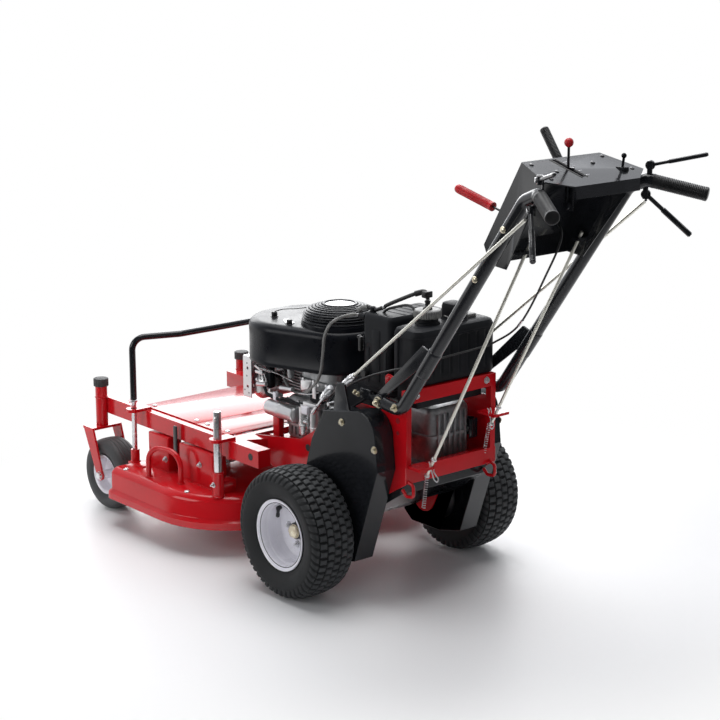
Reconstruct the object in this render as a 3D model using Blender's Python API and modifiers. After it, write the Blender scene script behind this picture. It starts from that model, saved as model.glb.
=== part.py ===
"""Commercial walk-behind petrol lawn mower, built as separate pieces.

Metres, +Z up, +Y is the way it drives, +X its right-hand side. The pieces are laid out round the
rear axle, whose middle is at X 0, Y 0, and the whole is then set over the origin by its bounding box.
"""

import math

import bmesh
import bpy
import numpy as np
from mathutils import Matrix, Vector

GAP = 0.0003
RUNNING = 0.0004

# Widths that the rest is set out from
FRAME_HALF = 0.147
RAIL_X = FRAME_HALF + 0.070
TUBE_X = FRAME_HALF + 0.017
SHEAVE_IN = FRAME_HALF + 0.016
SHEAVE_OUT = SHEAVE_IN + 0.030
COVER_FAR = SHEAVE_OUT + 0.013

# Rear wheels
TYRE_R = 0.165
TYRE_W = 0.127
WHEEL_X = COVER_FAR + 0.011 + TYRE_W / 2
RIM_R = 0.0905
RIM_SEAT_R = 0.0797
RIM_HALF_W = 0.0545
RIM_FLANGE = 0.004
RIM_WALL = 0.004
WEB_OUT = -0.008
AXLE_R = 0.0125
HUB_R = 0.0215
SLEEVE_R = 0.024
HUB_FLANGE_R = 0.046
PULLEY_R = 0.068
PULLEY_W = 0.028

# Caster wheels
CASTER_R = 0.1016
CASTER_W = 0.076
CASTER_RIM_R = 0.0565
CASTER_SEAT_R = 0.050
CASTER_RIM_HALF_W = 0.033
CASTER_HUB_R = 0.0125
CASTER_AXLE_R = 0.0064
CASTER_X = RAIL_X + 0.030
CASTER_Y = 0.926
CASTER_TRAIL = 0.054
KINGPIN_R = 0.0125
KINGPIN_TUBE_R = 0.017
KINGPIN_TUBE_LOW = 0.2325
KINGPIN_TUBE_TOP = 0.3440
CAP_R = 0.0195
CAP_TOP = 0.366
CROWN_T = 0.007
LEG_T = 0.006
LEG_HALF_TOP = 0.024
LEG_EYE_R = 0.015
CASTER_SIDE_GAP = 0.0045

# Carrier frame
RAIL_W = 0.038
RAIL_LOW = 0.266
RAIL_TOP = 0.312
RAIL_REAR = 0.345
RAIL_END = 0.210
RAIL_FRONT = 0.935
EAR_T = 0.0075
EAR_R = 0.022
PLATE_T = 0.003
COVER_HALF_X = RAIL_X - 0.006
COVER_REAR = 0.372
COVER_FRONT = 0.765

# Rear frame
FRAME_BACK = -0.256
COVER_SHEET = 0.0025
SHEET = 0.004
POST_W = 0.016
WINDOW_LOW = 0.358
WINDOW_TOP = 0.515
FRAME_LOW = 0.318
FRAME_TOP = 0.547
SIDE_TOP = 0.486
SIDE_FRONT = RAIL_REAR - 0.001 - GAP
ENGINE_BASE = 0.320

# Cutting deck
PIN_LEFT_X = -RAIL_X - 0.043
PIN_RIGHT_X = RAIL_X + 0.128
DECK_LEFT = PIN_LEFT_X - 0.078
DECK_RIGHT = PIN_RIGHT_X + 0.141
DECK_FRONT = 0.757
DECK_LOW = 0.077
DECK_TOP = 0.165
DECK_SHEET = 0.003
DECK_BAND = 0.010
DECK_BAND_H = 0.020
DECK_SHOULDER = 0.015
BLADE_R = 0.2035
CHAMBER_R = BLADE_R + 0.012
BLADE_L = (DECK_LEFT + 0.220, 0.5415)
BLADE_RT = (DECK_RIGHT - CHAMBER_R - 0.0015, 0.3985)
BLADE_Z = 0.094
BLADE_T = 0.006
REAR_ARC_R = 0.235
REAR_ARC = (DECK_LEFT + REAR_ARC_R, 0.500)
PIN_FRONT_Y = 0.741
PIN_REAR_Y = 0.352
FRONT_PIN_R = 0.007
LIFT_BAR_R = 0.009
REAR_PIN_R = 0.011
REAR_PIN_TOP = 0.393
SOCKET_R = 0.0155
SOCKET_TOP = 0.228
SOCKET_DEPTH = 0.040
SPINDLE_HOUSING_R = 0.030
SPINDLE_PULLEY_R = 0.055
LIFT_BAR_TOP = 0.518
LIFT_BAR_FOOT = 0.337
LUG_TOP = 0.203
LUG_R = 0.0125
DECK_BOX_TOP = 0.262
DECK_BOX_W = 0.046
BOX_OFF = 0.0135
CHUTE_Y = (0.425, 0.625)
CHUTE_REACH = 0.125
CHUTE_DROP = 0.070
HINGE_R = 0.0045
HINGE = (DECK_RIGHT + 0.006, DECK_TOP - 0.0035)

# Engine
ENGINE_Y = 0.167
HOUSING_REAR_R = 0.110
HOUSING_HALF_X = 0.155
HOUSING_CORNER = 0.135
HOUSING_FRONT = 0.440
HOUSING_LOW = 0.508
HOUSING_TOP = 0.6195
HOUSING_ROUND = 0.022
HOUSING_WALL = 0.003
RECOIL_SEAT = 0.630
RECOIL_R = 0.098
RECOIL_TOP = 0.6745
CRANK_R = 0.0125
BLOCK_TOP = 0.430
ENGINE_PULLEY_R = 0.045
MUFFLER_R = 0.035
MUFFLER_Y = 0.3750
MUFFLER_Z = 0.430
MUFFLER_HALF = 0.112
GUARD_FRONT = 0.4235
GUARD_LOW = 0.396
FILTER_R = 0.0215
FILTER_X = -0.1285
FILTER_Z = 0.394
FILTER_REAR = 0.185
FILTER_LENGTH = 0.120

# Drive shaft across the rear frame, its middle in Y, Z
SHAFT = (-0.118, 0.400)
SHAFT_R = 0.0100
SHEAVE_R = 0.034
SHEAVE_ROOT_R = 0.026
SHEAVE_LIP = 0.006

# Fuel tank and air box
TANK_LEFT = -0.109
TANK_RIGHT = 0.155
TANK_REAR = -0.2505
TANK_FRONT = -0.153
TANK_TOP = 0.685
NECK_X = -0.024
NECK_Y = -0.192
NECK_R = 0.026
NECK_TOP = 0.700
CAP_HEIGHT = 0.020
FUEL_CAP_R = 0.034
NIPPLE_R = 0.004
NIPPLE_TOP = 0.742
AIR_BOX_HALF_X = 0.095
AIR_BOX_REAR = -0.137
AIR_BOX_FRONT = -0.033
AIR_BOX_TOP = 0.696
LEAD_R = 0.004
LEAD_BOOT = (-0.085, AIR_BOX_FRONT + 0.021, 0.683)
HOSE_R = 0.005
HOSE_ELBOW = (-0.070, -0.0455)

# Handle
TUBE_R = 0.016
GRIP_R = 0.0165
GRIP_CORE_R = 0.0130
GRIP_BASE = (TUBE_X + 0.009, -0.697, 1.071)
GRIP_END = (TUBE_X + 0.083, -0.811, 1.043)
TUBE_FOOT = (-0.256, 0.5040)
TUBE_NOSE = (-0.178, 0.5140)
TUBE_HEAD = (-0.650, 1.052)
ROD_X = TUBE_X + 0.026
ROD_R = 0.004
DRIVE_ROD_TOP = (-0.676, 1.0168)
DRIVE_ROD_LOW = (-0.0735, 0.5345)
CONSOLE_A = (TUBE_X - 0.042, -0.597, 1.124)
CONSOLE_P = (TUBE_X - 0.008, -0.698, 1.0953)
CONSOLE_D = (TUBE_X - 0.061, -0.735, 1.0847)
CONSOLE_FOOT_Y = -0.486
CONSOLE_FOOT_Z = 0.930
CONSOLE_HEM_Y = -0.505
CONSOLE_HEM_Z = 0.888
CONSOLE_SHEET = 0.0025
CONSOLE_LIP = 0.026
SLOT_X = -0.034
SLOT_Y = (-0.697, -0.603)
SLOT_W = 0.009
SHIFT_PIVOT = (-0.034, -0.650, 1.030)
STEM_LENGTH = 0.136
STEM_R = 0.0030
BALL_R = 0.0105
BLADE_PIVOT = (0.080, -0.5350, 1.073)
BRAKE_PIVOT = (-0.050, -0.4930, 0.987)
BLADE_LEVER_TIP = (0.080, -0.4625, 1.1725)
BRAKE_LEVER_TIP = (-0.050, -0.3150, 1.031)
BLADE_LEVER_GRIP = 0.085
BRAKE_LEVER_GRIP = 0.125
PRESENCE_PIVOT = (TUBE_X + 0.012, -0.7010, 1.1035)
PRESENCE_TIP = (TUBE_X + 0.078, -0.8090, 1.1330)
DRIVE_PIVOT = (TUBE_X + 0.019, -0.6850, 1.0360)
DRIVE_TIP = (TUBE_X + 0.087, -0.7610, 0.9450)
DRIVE_GRIP = 0.085
CRANK_ARM_R = 0.003
LEVER_ROD_R = 0.005
LEVER_GRIP_R = 0.0110
HUB_DISC_R = 0.011
HUB_DISC_T = 0.006
HAND_DISC_T = 0.0108

# Brake rod and blade rod: distance from the middle, then each end in Y, Z
CROSS_ROD_X = 0.100
BRAKE_ROD_TOP = (-0.603, 0.943)
BRAKE_ROD_LOW = (-0.276, 0.334)
BLADE_ROD_TOP = (-0.572, 0.945)
BLADE_ROD_LOW = (-0.2885, 0.430)


def clear_scene():
    for obj in list(bpy.data.objects):
        bpy.data.objects.remove(obj)


def new_collection(name):
    collection = bpy.data.collections.new(name)
    bpy.context.scene.collection.children.link(collection)
    return collection


clear_scene()
MOWER = new_collection("walk_behind_mower")
WORKSHOP = new_collection("cutters_and_joined_shapes")
ROOT = bpy.data.objects.new("mower_layout", None)
MOWER.objects.link(ROOT)


# Materials

def material(name, colour, roughness, metallic=0.0):
    made = bpy.data.materials.new(name)
    made.use_nodes = True
    shader = made.node_tree.nodes["Principled BSDF"]
    shader.inputs["Base Color"].default_value = (*colour, 1.0)
    shader.inputs["Roughness"].default_value = roughness
    shader.inputs["Metallic"].default_value = metallic
    made.diffuse_color = (*colour, 1.0)
    return made


RED = material("red_paint", (0.62, 0.012, 0.018), 0.22)
BLACK = material("black_paint", (0.02, 0.021, 0.024), 0.35)
WHITE = material("white_rim_paint", (0.82, 0.82, 0.86), 0.3)
TYRE = material("tyre_rubber", (0.03, 0.03, 0.032), 0.8)
PLASTIC = material("black_plastic", (0.025, 0.026, 0.028), 0.5)
GRIP = material("black_grip_rubber", (0.02, 0.02, 0.021), 0.4)
RED_GRIP = material("red_grip_rubber", (0.6, 0.03, 0.03), 0.45)
ZINC = material("zinc_plate", (0.66, 0.66, 0.6), 0.35, 0.9)
STEEL = material("bright_steel", (0.6, 0.6, 0.6), 0.3, 1.0)
ALLOY = material("cast_aluminium", (0.62, 0.62, 0.63), 0.45, 0.9)
BLADE_STEEL = material("blade_steel", (0.12, 0.12, 0.13), 0.5, 0.7)


# Shapes: each is made at its place in the layout and waits in the workshop collection

def solid(bm, name="shape"):
    mesh = bpy.data.meshes.new(name)
    bm.to_mesh(mesh)
    bm.free()
    return solid_of(mesh, name)


def solid_of(mesh, name="shape"):
    obj = bpy.data.objects.new(name, mesh)
    WORKSHOP.objects.link(obj)
    obj.parent = ROOT
    obj.hide_render = True
    obj.display_type = "WIRE"
    return obj


def block(low, high):
    bm = bmesh.new()
    bmesh.ops.create_cube(bm, size=1.0)
    size = Vector(high) - Vector(low)
    bmesh.ops.scale(bm, vec=size, verts=bm.verts)
    bmesh.ops.translate(bm, vec=(Vector(high) + Vector(low)) / 2, verts=bm.verts)
    return solid(bm)


def rod(start, end, radius, sides=16, end_radius=None):
    start, end = Vector(start), Vector(end)
    along = end - start
    bm = bmesh.new()
    turn = along.to_track_quat("Z", "Y").to_matrix().to_4x4()
    bmesh.ops.create_cone(
        bm,
        cap_ends=True,
        segments=sides,
        radius1=radius,
        radius2=radius if end_radius is None else end_radius,
        depth=along.length,
        matrix=Matrix.Translation((start + end) / 2) @ turn,
    )
    return solid(bm)


def ball(centre, radius):
    bm = bmesh.new()
    bmesh.ops.create_uvsphere(
        bm, u_segments=14, v_segments=8, radius=radius, matrix=Matrix.Translation(centre)
    )
    return solid(bm)


def mesh_from_curve(curve):
    """The curve as a closed mesh: its caps are welded to its sides."""
    obj = bpy.data.objects.new("guide", curve)
    WORKSHOP.objects.link(obj)
    bpy.context.view_layer.update()
    graph = bpy.context.evaluated_depsgraph_get()
    mesh = bpy.data.meshes.new_from_object(obj.evaluated_get(graph))
    bpy.data.objects.remove(obj)
    bm = bmesh.new()
    bm.from_mesh(mesh)
    bmesh.ops.remove_doubles(bm, verts=bm.verts, dist=0.00001)
    bmesh.ops.recalc_face_normals(bm, faces=bm.faces)
    bm.to_mesh(mesh)
    bm.free()
    return mesh


def spline(curve, points, cyclic=False):
    line = curve.splines.new("POLY")
    line.points.add(len(points) - 1)
    for spot, point in zip(line.points, points):
        spot.co = (*point, *([0.0] * (3 - len(point))), 1.0)
    line.use_cyclic_u = cyclic


def pipe(points, radius, resolution=2):
    curve = bpy.data.curves.new("pipe", "CURVE")
    curve.dimensions = "3D"
    curve.bevel_depth = radius
    curve.bevel_resolution = resolution
    curve.use_fill_caps = True
    spline(curve, points)
    return solid_of(mesh_from_curve(curve))


def bent(points, radius, steps=4):
    """The same run of straight lengths, with an arc of this radius in place of each corner."""
    points = [Vector(p) for p in points]
    run = [points[0]]
    for before, corner, after in zip(points, points[1:], points[2:]):
        back = (before - corner).normalized()
        ahead = (after - corner).normalized()
        half = back.angle(ahead) / 2
        room = min((before - corner).length, (after - corner).length) / 2
        reach = min(radius / math.tan(half), room)
        centre = corner + (back + ahead).normalized() * (reach / math.cos(half))
        start = corner + back * reach - centre
        end = corner + ahead * reach - centre
        for step in range(steps + 1):
            run.append(centre + start.slerp(end, step / steps) * start.length)
    run.append(points[-1])
    return run


def smooth_run(points, spacing):
    """Points at a steady spacing on the smooth curve through a route's own points."""
    route = np.array(points, float)
    padded = np.vstack([2 * route[0] - route[1], route, 2 * route[-1] - route[-2]])
    run = []
    for a, b, c, d in zip(padded, padded[1:], padded[2:], padded[3:]):
        count = max(2, int(np.linalg.norm(c - b) / spacing))
        for t in np.arange(count) / count:
            square = (2 * a - 5 * b + 4 * c - d) * t**2
            cube = (3 * b - a - 3 * c + d) * t**3
            run.append((2 * b + (c - a) * t + square + cube) / 2)
    run.append(route[-1])
    return [Vector(p) for p in run]


def plate(outline, low, high, normal="Z"):
    """A flat outline, in the other two axes' order, made solid from low to high along its normal."""
    curve = bpy.data.curves.new("outline", "CURVE")
    curve.dimensions = "2D"
    curve.fill_mode = "BOTH"
    curve.extrude = (high - low) / 2
    spline(curve, outline, cyclic=True)
    mesh = mesh_from_curve(curve)
    columns = {"X": ((0, 1, 0), (0, 0, 1), (1, 0, 0)), "Y": ((1, 0, 0), (0, 0, 1), (0, 1, 0))}
    if normal in columns:
        mesh.transform(Matrix(columns[normal]).transposed().to_4x4())
    middle = (high + low) / 2
    mesh.transform(Matrix.Translation([middle * (axis == normal) for axis in "XYZ"]))
    bm = bmesh.new()
    bm.from_mesh(mesh)
    bmesh.ops.recalc_face_normals(bm, faces=bm.faces)
    bm.to_mesh(mesh)
    bm.free()
    return solid_of(mesh)


def arc(centre, radius, start, end, steps):
    """Points on an arc, angles in degrees."""
    angles = np.radians(np.linspace(start, end, steps + 1))
    return [(centre[0] + radius * math.cos(a), centre[1] + radius * math.sin(a)) for a in angles]


def rounded_box(low, high, radius, steps=4):
    (x0, y0), (x1, y1) = low, high
    corners = [(x1 - radius, y1 - radius), (x0 + radius, y1 - radius)]
    corners += [(x0 + radius, y0 + radius), (x1 - radius, y0 + radius)]
    outline = []
    for quarter, centre in enumerate(corners):
        outline += arc(centre, radius, 90 * quarter, 90 * quarter + 90, steps)
    return outline


def inset(outline, amount):
    """The anticlockwise outline moved inwards by this amount; a negative amount moves it outwards."""
    points = [Vector(p) for p in outline]
    moved = []
    for before, here, after in zip(points[-1:] + points[:-1], points, points[1:] + points[:1]):
        into = (here - before).normalized()
        out = (after - here).normalized()
        across = Vector((-into.y - out.y, into.x + out.x)).normalized()
        lean = max(0.35, across.dot(Vector((-out.y, out.x))))
        moved.append(here + across * (amount / lean))
    return moved


def stack(outline, levels):
    """A closed form lofted up through one outline, each level being (inset, height)."""
    bm = bmesh.new()
    rings = []
    for amount, height in levels:
        rings.append([bm.verts.new((p[0], p[1], height)) for p in inset(outline, amount)])
    bm.faces.new(reversed(rings[0]))
    bm.faces.new(rings[-1])
    for lower, upper in zip(rings, rings[1:]):
        for i in range(len(lower)):
            j = (i + 1) % len(lower)
            bm.faces.new((lower[i], lower[j], upper[j], upper[i]))
    bmesh.ops.recalc_face_normals(bm, faces=bm.faces)
    return solid(bm)


def strap(start, end, normal, width, thickness):
    """A flat bar from start to end whose broad faces look along the normal."""
    start, end, normal = Vector(start), Vector(end), Vector(normal).normalized()
    along = end - start
    across = normal.cross(along).normalized()
    frame = Matrix((along, across * width, normal * thickness)).transposed().to_4x4()
    bm = bmesh.new()
    bmesh.ops.create_cube(bm, size=1.0, matrix=Matrix.Translation((start + end) / 2) @ frame)
    bmesh.ops.recalc_face_normals(bm, faces=bm.faces)
    return solid(bm)


def turned(profile, centre, turn=(0.0, 0.0, 0.0), steps=32):
    """A closed profile of (radius, height) points, outer side from top to bottom, turned about its axis."""
    bm = bmesh.new()
    spots = [bm.verts.new((radius, 0.0, height)) for radius, height in profile]
    for spot, following in zip(spots, spots[1:]):
        bm.edges.new((spot, following))
    if profile[0][0] > 0 or profile[-1][0] > 0:
        bm.edges.new((spots[-1], spots[0]))
    obj = solid(bm)
    screw = obj.modifiers.new("turn", "SCREW")
    screw.steps = steps
    screw.render_steps = steps
    screw.use_merge_vertices = True
    screw.merge_threshold = 0.00001
    obj.location = centre
    obj.rotation_euler = turn
    return obj


def combine(obj, others, operation):
    for other in others:
        step = obj.modifiers.new(operation.lower(), "BOOLEAN")
        step.object = other
        step.operation = operation
        step.solver = "EXACT"
    return obj


def joined(obj, *others):
    return combine(obj, others, "UNION")


def cut(obj, *others):
    return combine(obj, others, "DIFFERENCE")


def piece(obj, name, finish, pivot=None):
    """Takes a shape out of the workshop as a finished piece, with its origin at its pivot."""
    WORKSHOP.objects.unlink(obj)
    MOWER.objects.link(obj)
    obj.name = name
    obj.hide_render = False
    obj.display_type = "TEXTURED"
    if pivot is not None:
        obj.data.transform(Matrix.Translation(-Vector(pivot)))
        obj.location = pivot
    obj.data.materials.append(finish)
    obj.data.shade_smooth()
    obj.data.set_sharp_from_angle(angle=math.radians(35))
    return obj


def mirrored(point):
    return (-point[0], *point[1:])


def sided(side, x, y, z):
    """A point given for the right-hand side, moved to this side."""
    return (side * x, y, z)


SIDES = (("left", -1), ("right", 1))


def facing_out(side):
    """Turns a profile's axis to point away from the machine's middle."""
    return (0.0, side * math.pi / 2, 0.0)


# Rear wheels

def rear_tyre(name, side):
    """Square-shouldered tyre on the rim's seat, with a slightly crowned tread."""
    bead = RIM_HALF_W - RIM_FLANGE - GAP
    half = TYRE_W / 2
    outer = [
        (RIM_SEAT_R + GAP, bead),
        (RIM_R + 0.0035, bead),
        (RIM_R + 0.022, half),
        (TYRE_R - 0.016, half - 0.002),
        (TYRE_R - 0.0045, half - 0.0135),
        (TYRE_R, half - 0.040),
    ]
    profile = outer + [(r, -h) for r, h in reversed(outer)]
    piece(turned(profile, sided(side, WHEEL_X, 0, TYRE_R), facing_out(side), 28), name, TYRE)


def rear_rim(name, side):
    """Barrel with a flange at each edge and a dished web bolted to the hub."""
    web_in = WEB_OUT - RIM_WALL
    inner = RIM_SEAT_R - RIM_WALL
    hole = HUB_R + GAP
    flange = RIM_HALF_W - RIM_FLANGE
    profile = [
        (RIM_R, RIM_HALF_W),
        (RIM_R, flange),
        (RIM_SEAT_R, flange),
        (RIM_SEAT_R, -flange),
        (RIM_R, -flange),
        (RIM_R, -RIM_HALF_W),
        (inner, -RIM_HALF_W + 0.002),
        (inner, web_in),
        (hole, web_in),
        (hole, WEB_OUT),
        (inner - 0.010, WEB_OUT),
        (inner, WEB_OUT + 0.020),
        (inner, RIM_HALF_W - 0.002),
    ]
    piece(turned(profile, sided(side, WHEEL_X, 0, TYRE_R), facing_out(side), 28), name, WHITE)


def rear_hub(name, side):
    """Sleeve on the axle with the rim's bolting flange and the grooved drive pulley inside the cover."""
    web_in = WEB_OUT - RIM_WALL
    flange_out = web_in - GAP
    flange_in = flange_out - 0.005
    bore = AXLE_R + RUNNING
    pulley_out = SHEAVE_OUT - WHEEL_X
    pulley_in = pulley_out - PULLEY_W
    groove = (pulley_out + pulley_in) / 2
    profile = [
        (HUB_R, 0.004),
        (HUB_R, flange_out),
        (HUB_FLANGE_R, flange_out),
        (HUB_FLANGE_R, flange_in),
        (SLEEVE_R, flange_in),
        (SLEEVE_R, pulley_out),
        (PULLEY_R, pulley_out),
        (PULLEY_R, groove + 0.008),
        (PULLEY_R - 0.010, groove),
        (PULLEY_R, groove - 0.008),
        (PULLEY_R, pulley_in),
        (bore, pulley_in),
        (bore, 0.004),
    ]
    piece(turned(profile, sided(side, WHEEL_X, 0, TYRE_R), facing_out(side), 20), name, STEEL)


def rear_axle():
    """Dead axle through the rear frame, with a nut outside each hub."""
    reach = WHEEL_X + 0.012
    shaft = rod((-reach, 0, TYRE_R), (reach, 0, TYRE_R), AXLE_R, 24)
    nuts = []
    for _, side in SIDES:
        start = WHEEL_X + 0.004 + GAP
        nuts.append(rod((side * start, 0, TYRE_R), (side * (start + 0.010), 0, TYRE_R), 0.0180, 6))
    piece(joined(shaft, *nuts), "rear_axle", STEEL)


# Caster wheels

def caster_centre(side):
    return sided(side, CASTER_X, CASTER_Y - CASTER_TRAIL, CASTER_R)


def caster_tyre(name, side):
    bead = CASTER_RIM_HALF_W - 0.0032 - GAP
    half = CASTER_W / 2
    outer = [
        (CASTER_SEAT_R + GAP, bead),
        (CASTER_RIM_R + 0.003, bead),
        (CASTER_RIM_R + 0.014, half),
        (CASTER_R - 0.009, half - 0.004),
        (CASTER_R, half - 0.020),
    ]
    profile = outer + [(r, -h) for r, h in reversed(outer)]
    piece(turned(profile, caster_centre(side), facing_out(side), 24), name, TYRE)


def caster_rim(name, side):
    """Rim with a thin web on a long bearing tube that spaces it between the fork's legs."""
    flange = CASTER_RIM_HALF_W - 0.0032
    inner = CASTER_SEAT_R - 0.0035
    bore = CASTER_AXLE_R + RUNNING
    barrel = CASTER_W / 2 + 0.002
    half = [
        (CASTER_RIM_R, CASTER_RIM_HALF_W),
        (CASTER_RIM_R, flange),
        (CASTER_SEAT_R, flange),
    ]
    inside = [
        (inner, -CASTER_RIM_HALF_W),
        (inner, -0.0015),
        (CASTER_HUB_R, -0.0015),
        (CASTER_HUB_R, -barrel),
        (bore, -barrel),
    ]
    profile = half + [(r, -h) for r, h in reversed(half)]
    profile += inside + [(r, -h) for r, h in reversed(inside)]
    piece(turned(profile, caster_centre(side), facing_out(side), 24), name, WHITE)


def caster_fork(name, side):
    """Crown, two tapered legs, axle bolt, and the kingpin with its cap above the frame's tube."""
    x = side * CASTER_X
    axle_y = CASTER_Y - CASTER_TRAIL
    leg_in = CASTER_W / 2 + CASTER_SIDE_GAP
    leg_out = leg_in + LEG_T
    crown_top = KINGPIN_TUBE_LOW - GAP
    crown_low = crown_top - CROWN_T
    back, front = CASTER_Y - LEG_HALF_TOP, CASTER_Y + LEG_HALF_TOP
    crown = block((x - leg_out, back, crown_low), (x + leg_out, front, crown_top))
    eye = arc((axle_y, CASTER_R), LEG_EYE_R, 190, 340, 5)
    outline = [(front, crown_top), (back, crown_top)] + eye
    legs = [plate(outline, x + leg_in, x + leg_out, "X"), plate(outline, x - leg_out, x - leg_in, "X")]
    stem = rod((x, CASTER_Y, crown_low), (x, CASTER_Y, KINGPIN_TUBE_TOP + 0.006), KINGPIN_R, 16)
    cap = rod((x, CASTER_Y, KINGPIN_TUBE_TOP + GAP), (x, CASTER_Y, CAP_TOP), CAP_R, 16)
    bolt_end = leg_out + 0.008
    bolt = rod((x - bolt_end, axle_y, CASTER_R), (x + bolt_end, axle_y, CASTER_R), CASTER_AXLE_R, 12)
    heads = []
    for end in (-1, 1):
        near = x + end * (leg_out - 0.001)
        heads.append(rod((near, axle_y, CASTER_R), (near + end * 0.007, axle_y, CASTER_R), 0.0105, 6))
    piece(joined(crown, *legs, stem, cap, bolt, *heads), name, RED, (x, CASTER_Y, CASTER_R))


# Carrier frame

def pin_x(side):
    return PIN_LEFT_X if side < 0 else PIN_RIGHT_X


def rail_box(side, low_y, high_y):
    x = side * RAIL_X
    return block((x - RAIL_W / 2, low_y, RAIL_LOW), (x + RAIL_W / 2, high_y, RAIL_TOP))


def ear(side, y):
    """A pin ear: flat bar from the rail's top out past the pin, with a round end."""
    root_x = side * (RAIL_X - 0.002)
    centre = (pin_x(side), y)
    half = EAR_R * 0.85
    start = 180 if side < 0 else 0
    end = arc(centre, EAR_R, start - 58, start + 58, 5)
    foot = [(root_x, y - side * half), (root_x, y + side * half)]
    return plate(end + foot[::-1], RAIL_TOP - 0.001, RAIL_TOP + EAR_T, "Z")


def carrier_frame():
    """Two rails with a beam across, kingpin tubes at the front, pin ears and rear gussets."""
    rails = [rail_box(side, RAIL_END, RAIL_FRONT) for _, side in SIDES]
    beam = block((-RAIL_X, 0.715, RAIL_LOW), (RAIL_X, 0.765, RAIL_TOP))
    tubes = []
    bores = []
    for _, side in SIDES:
        x = side * CASTER_X
        low, high = (x, CASTER_Y, KINGPIN_TUBE_LOW), (x, CASTER_Y, KINGPIN_TUBE_TOP)
        tubes.append(rod(low, high, KINGPIN_TUBE_R, 16))
        bores.append(rod((x, CASTER_Y, 0.2), (x, CASTER_Y, 0.4), KINGPIN_R + RUNNING, 16))
    ears = []
    for _, side in SIDES:
        for y, radius in ((PIN_FRONT_Y, LIFT_BAR_R), (PIN_REAR_Y, REAR_PIN_R)):
            ears.append(ear(side, y))
            bores.append(rod((pin_x(side), y, 0.2), (pin_x(side), y, 0.4), radius + RUNNING * 2, 12))
    gussets = []
    for _, side in SIDES:
        outer = side * (RAIL_X + RAIL_W / 2)
        inner = side * (FRAME_HALF + GAP)
        front = RAIL_REAR + 0.004
        run = [(outer, front), (inner, front), (inner, front - 0.062), (outer, front - 0.012)]
        gussets.append(plate(run, RAIL_LOW - 0.006, RAIL_TOP, "Z"))
    web = block((-RAIL_X, RAIL_REAR - 0.001, RAIL_LOW), (RAIL_X, RAIL_REAR + 0.022, RAIL_TOP))
    frame = joined(rails[0], rails[1], beam, web, *tubes, *ears, *gussets)
    piece(cut(frame, *bores), "carrier_frame", RED)


def cover_plate():
    """Flat cover resting on both rails."""
    low = RAIL_TOP + GAP
    sheet = block((-COVER_HALF_X, COVER_REAR, low), (COVER_HALF_X, COVER_FRONT, low + PLATE_T))
    piece(sheet, "cover_plate", RED)


# Rear frame

def side_outline():
    """The side plate in Y, Z: foot round the axle, up to the window corner, forward to the gussets."""
    foot = arc((0.0, TYRE_R), 0.040, 200, 340, 6)
    back = [(FRAME_BACK, FRAME_LOW), (-0.060, 0.200)]
    front = [(0.070, 0.200), (SIDE_FRONT, 0.262), (SIDE_FRONT, RAIL_TOP), (0.150, 0.342)]
    front += [(-0.090, SIDE_TOP)]
    return back + foot + front + [(FRAME_BACK, SIDE_TOP)]


def rear_frame():
    """Two side plates, the window frame at the back, the engine's base plate and a floor."""
    sides = []
    holes = []
    for _, side in SIDES:
        low, high = sorted((side * FRAME_HALF, side * (FRAME_HALF - SHEET)))
        sides.append(plate(side_outline(), low, high, "X"))
    back_low, back_high = FRAME_BACK, FRAME_BACK + 0.018
    ring = block((-FRAME_HALF, back_low, FRAME_LOW), (FRAME_HALF, back_high, FRAME_TOP))
    window = FRAME_HALF - POST_W
    opening = block((-window, back_low - 0.01, WINDOW_LOW), (window, back_high + 0.01, WINDOW_TOP))
    half = FRAME_HALF - 0.001
    base = block((-half, -0.085, ENGINE_BASE - 0.006), (half, 0.272, ENGINE_BASE))
    floor = block((-half, FRAME_BACK + 0.001, FRAME_LOW), (half, -0.080, FRAME_LOW + SHEET))
    crank_hole = rod((0, ENGINE_Y, 0.2), (0, ENGINE_Y, 0.4), 0.030, 20)
    through = FRAME_HALF + 0.010
    axle_hole = rod((-through, 0, TYRE_R), (through, 0, TYRE_R), AXLE_R + GAP, 24)
    shaft_hole = rod((-through, *SHAFT), (through, *SHAFT), SHAFT_R + RUNNING, 16)
    eyes = []
    for side, low, top in ((-1, BRAKE_ROD_LOW, BRAKE_ROD_TOP), (1, BLADE_ROD_LOW, BLADE_ROD_TOP)):
        eyes.append(rod_guide(side, side * CROSS_ROD_X, low))
        holes.append(control_bore(side * CROSS_ROD_X, low, top))
    frame = joined(sides[0], sides[1], cut(ring, opening), base, floor, *eyes)
    piece(cut(frame, crank_hole, axle_hole, shaft_hole, *holes), "rear_frame", RED)


def towards(start, end, reach):
    """The point this far from start on the way to end, both in Y, Z."""
    start, end = Vector(start), Vector(end)
    return tuple(start + (end - start).normalized() * reach)


def rod_guide(side, x, low):
    """A short bar on the window's edge that the rod's lower end runs through."""
    edge = FRAME_HALF - POST_W
    far = side * (edge + 0.010)
    near = x - side * 0.010
    top = low[1] + 0.030
    x0, x1 = sorted((far, near))
    return block((x0, low[0] - 0.022, top - 0.007), (x1, FRAME_BACK + 0.004, top))


def control_bore(x, low, top):
    """Room for a control rod in what it runs through."""
    start = towards(low, top, -0.05)
    end = towards(low, top, 0.10)
    return rod((x, *start), (x, *end), ROD_R + RUNNING, 12)


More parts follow.
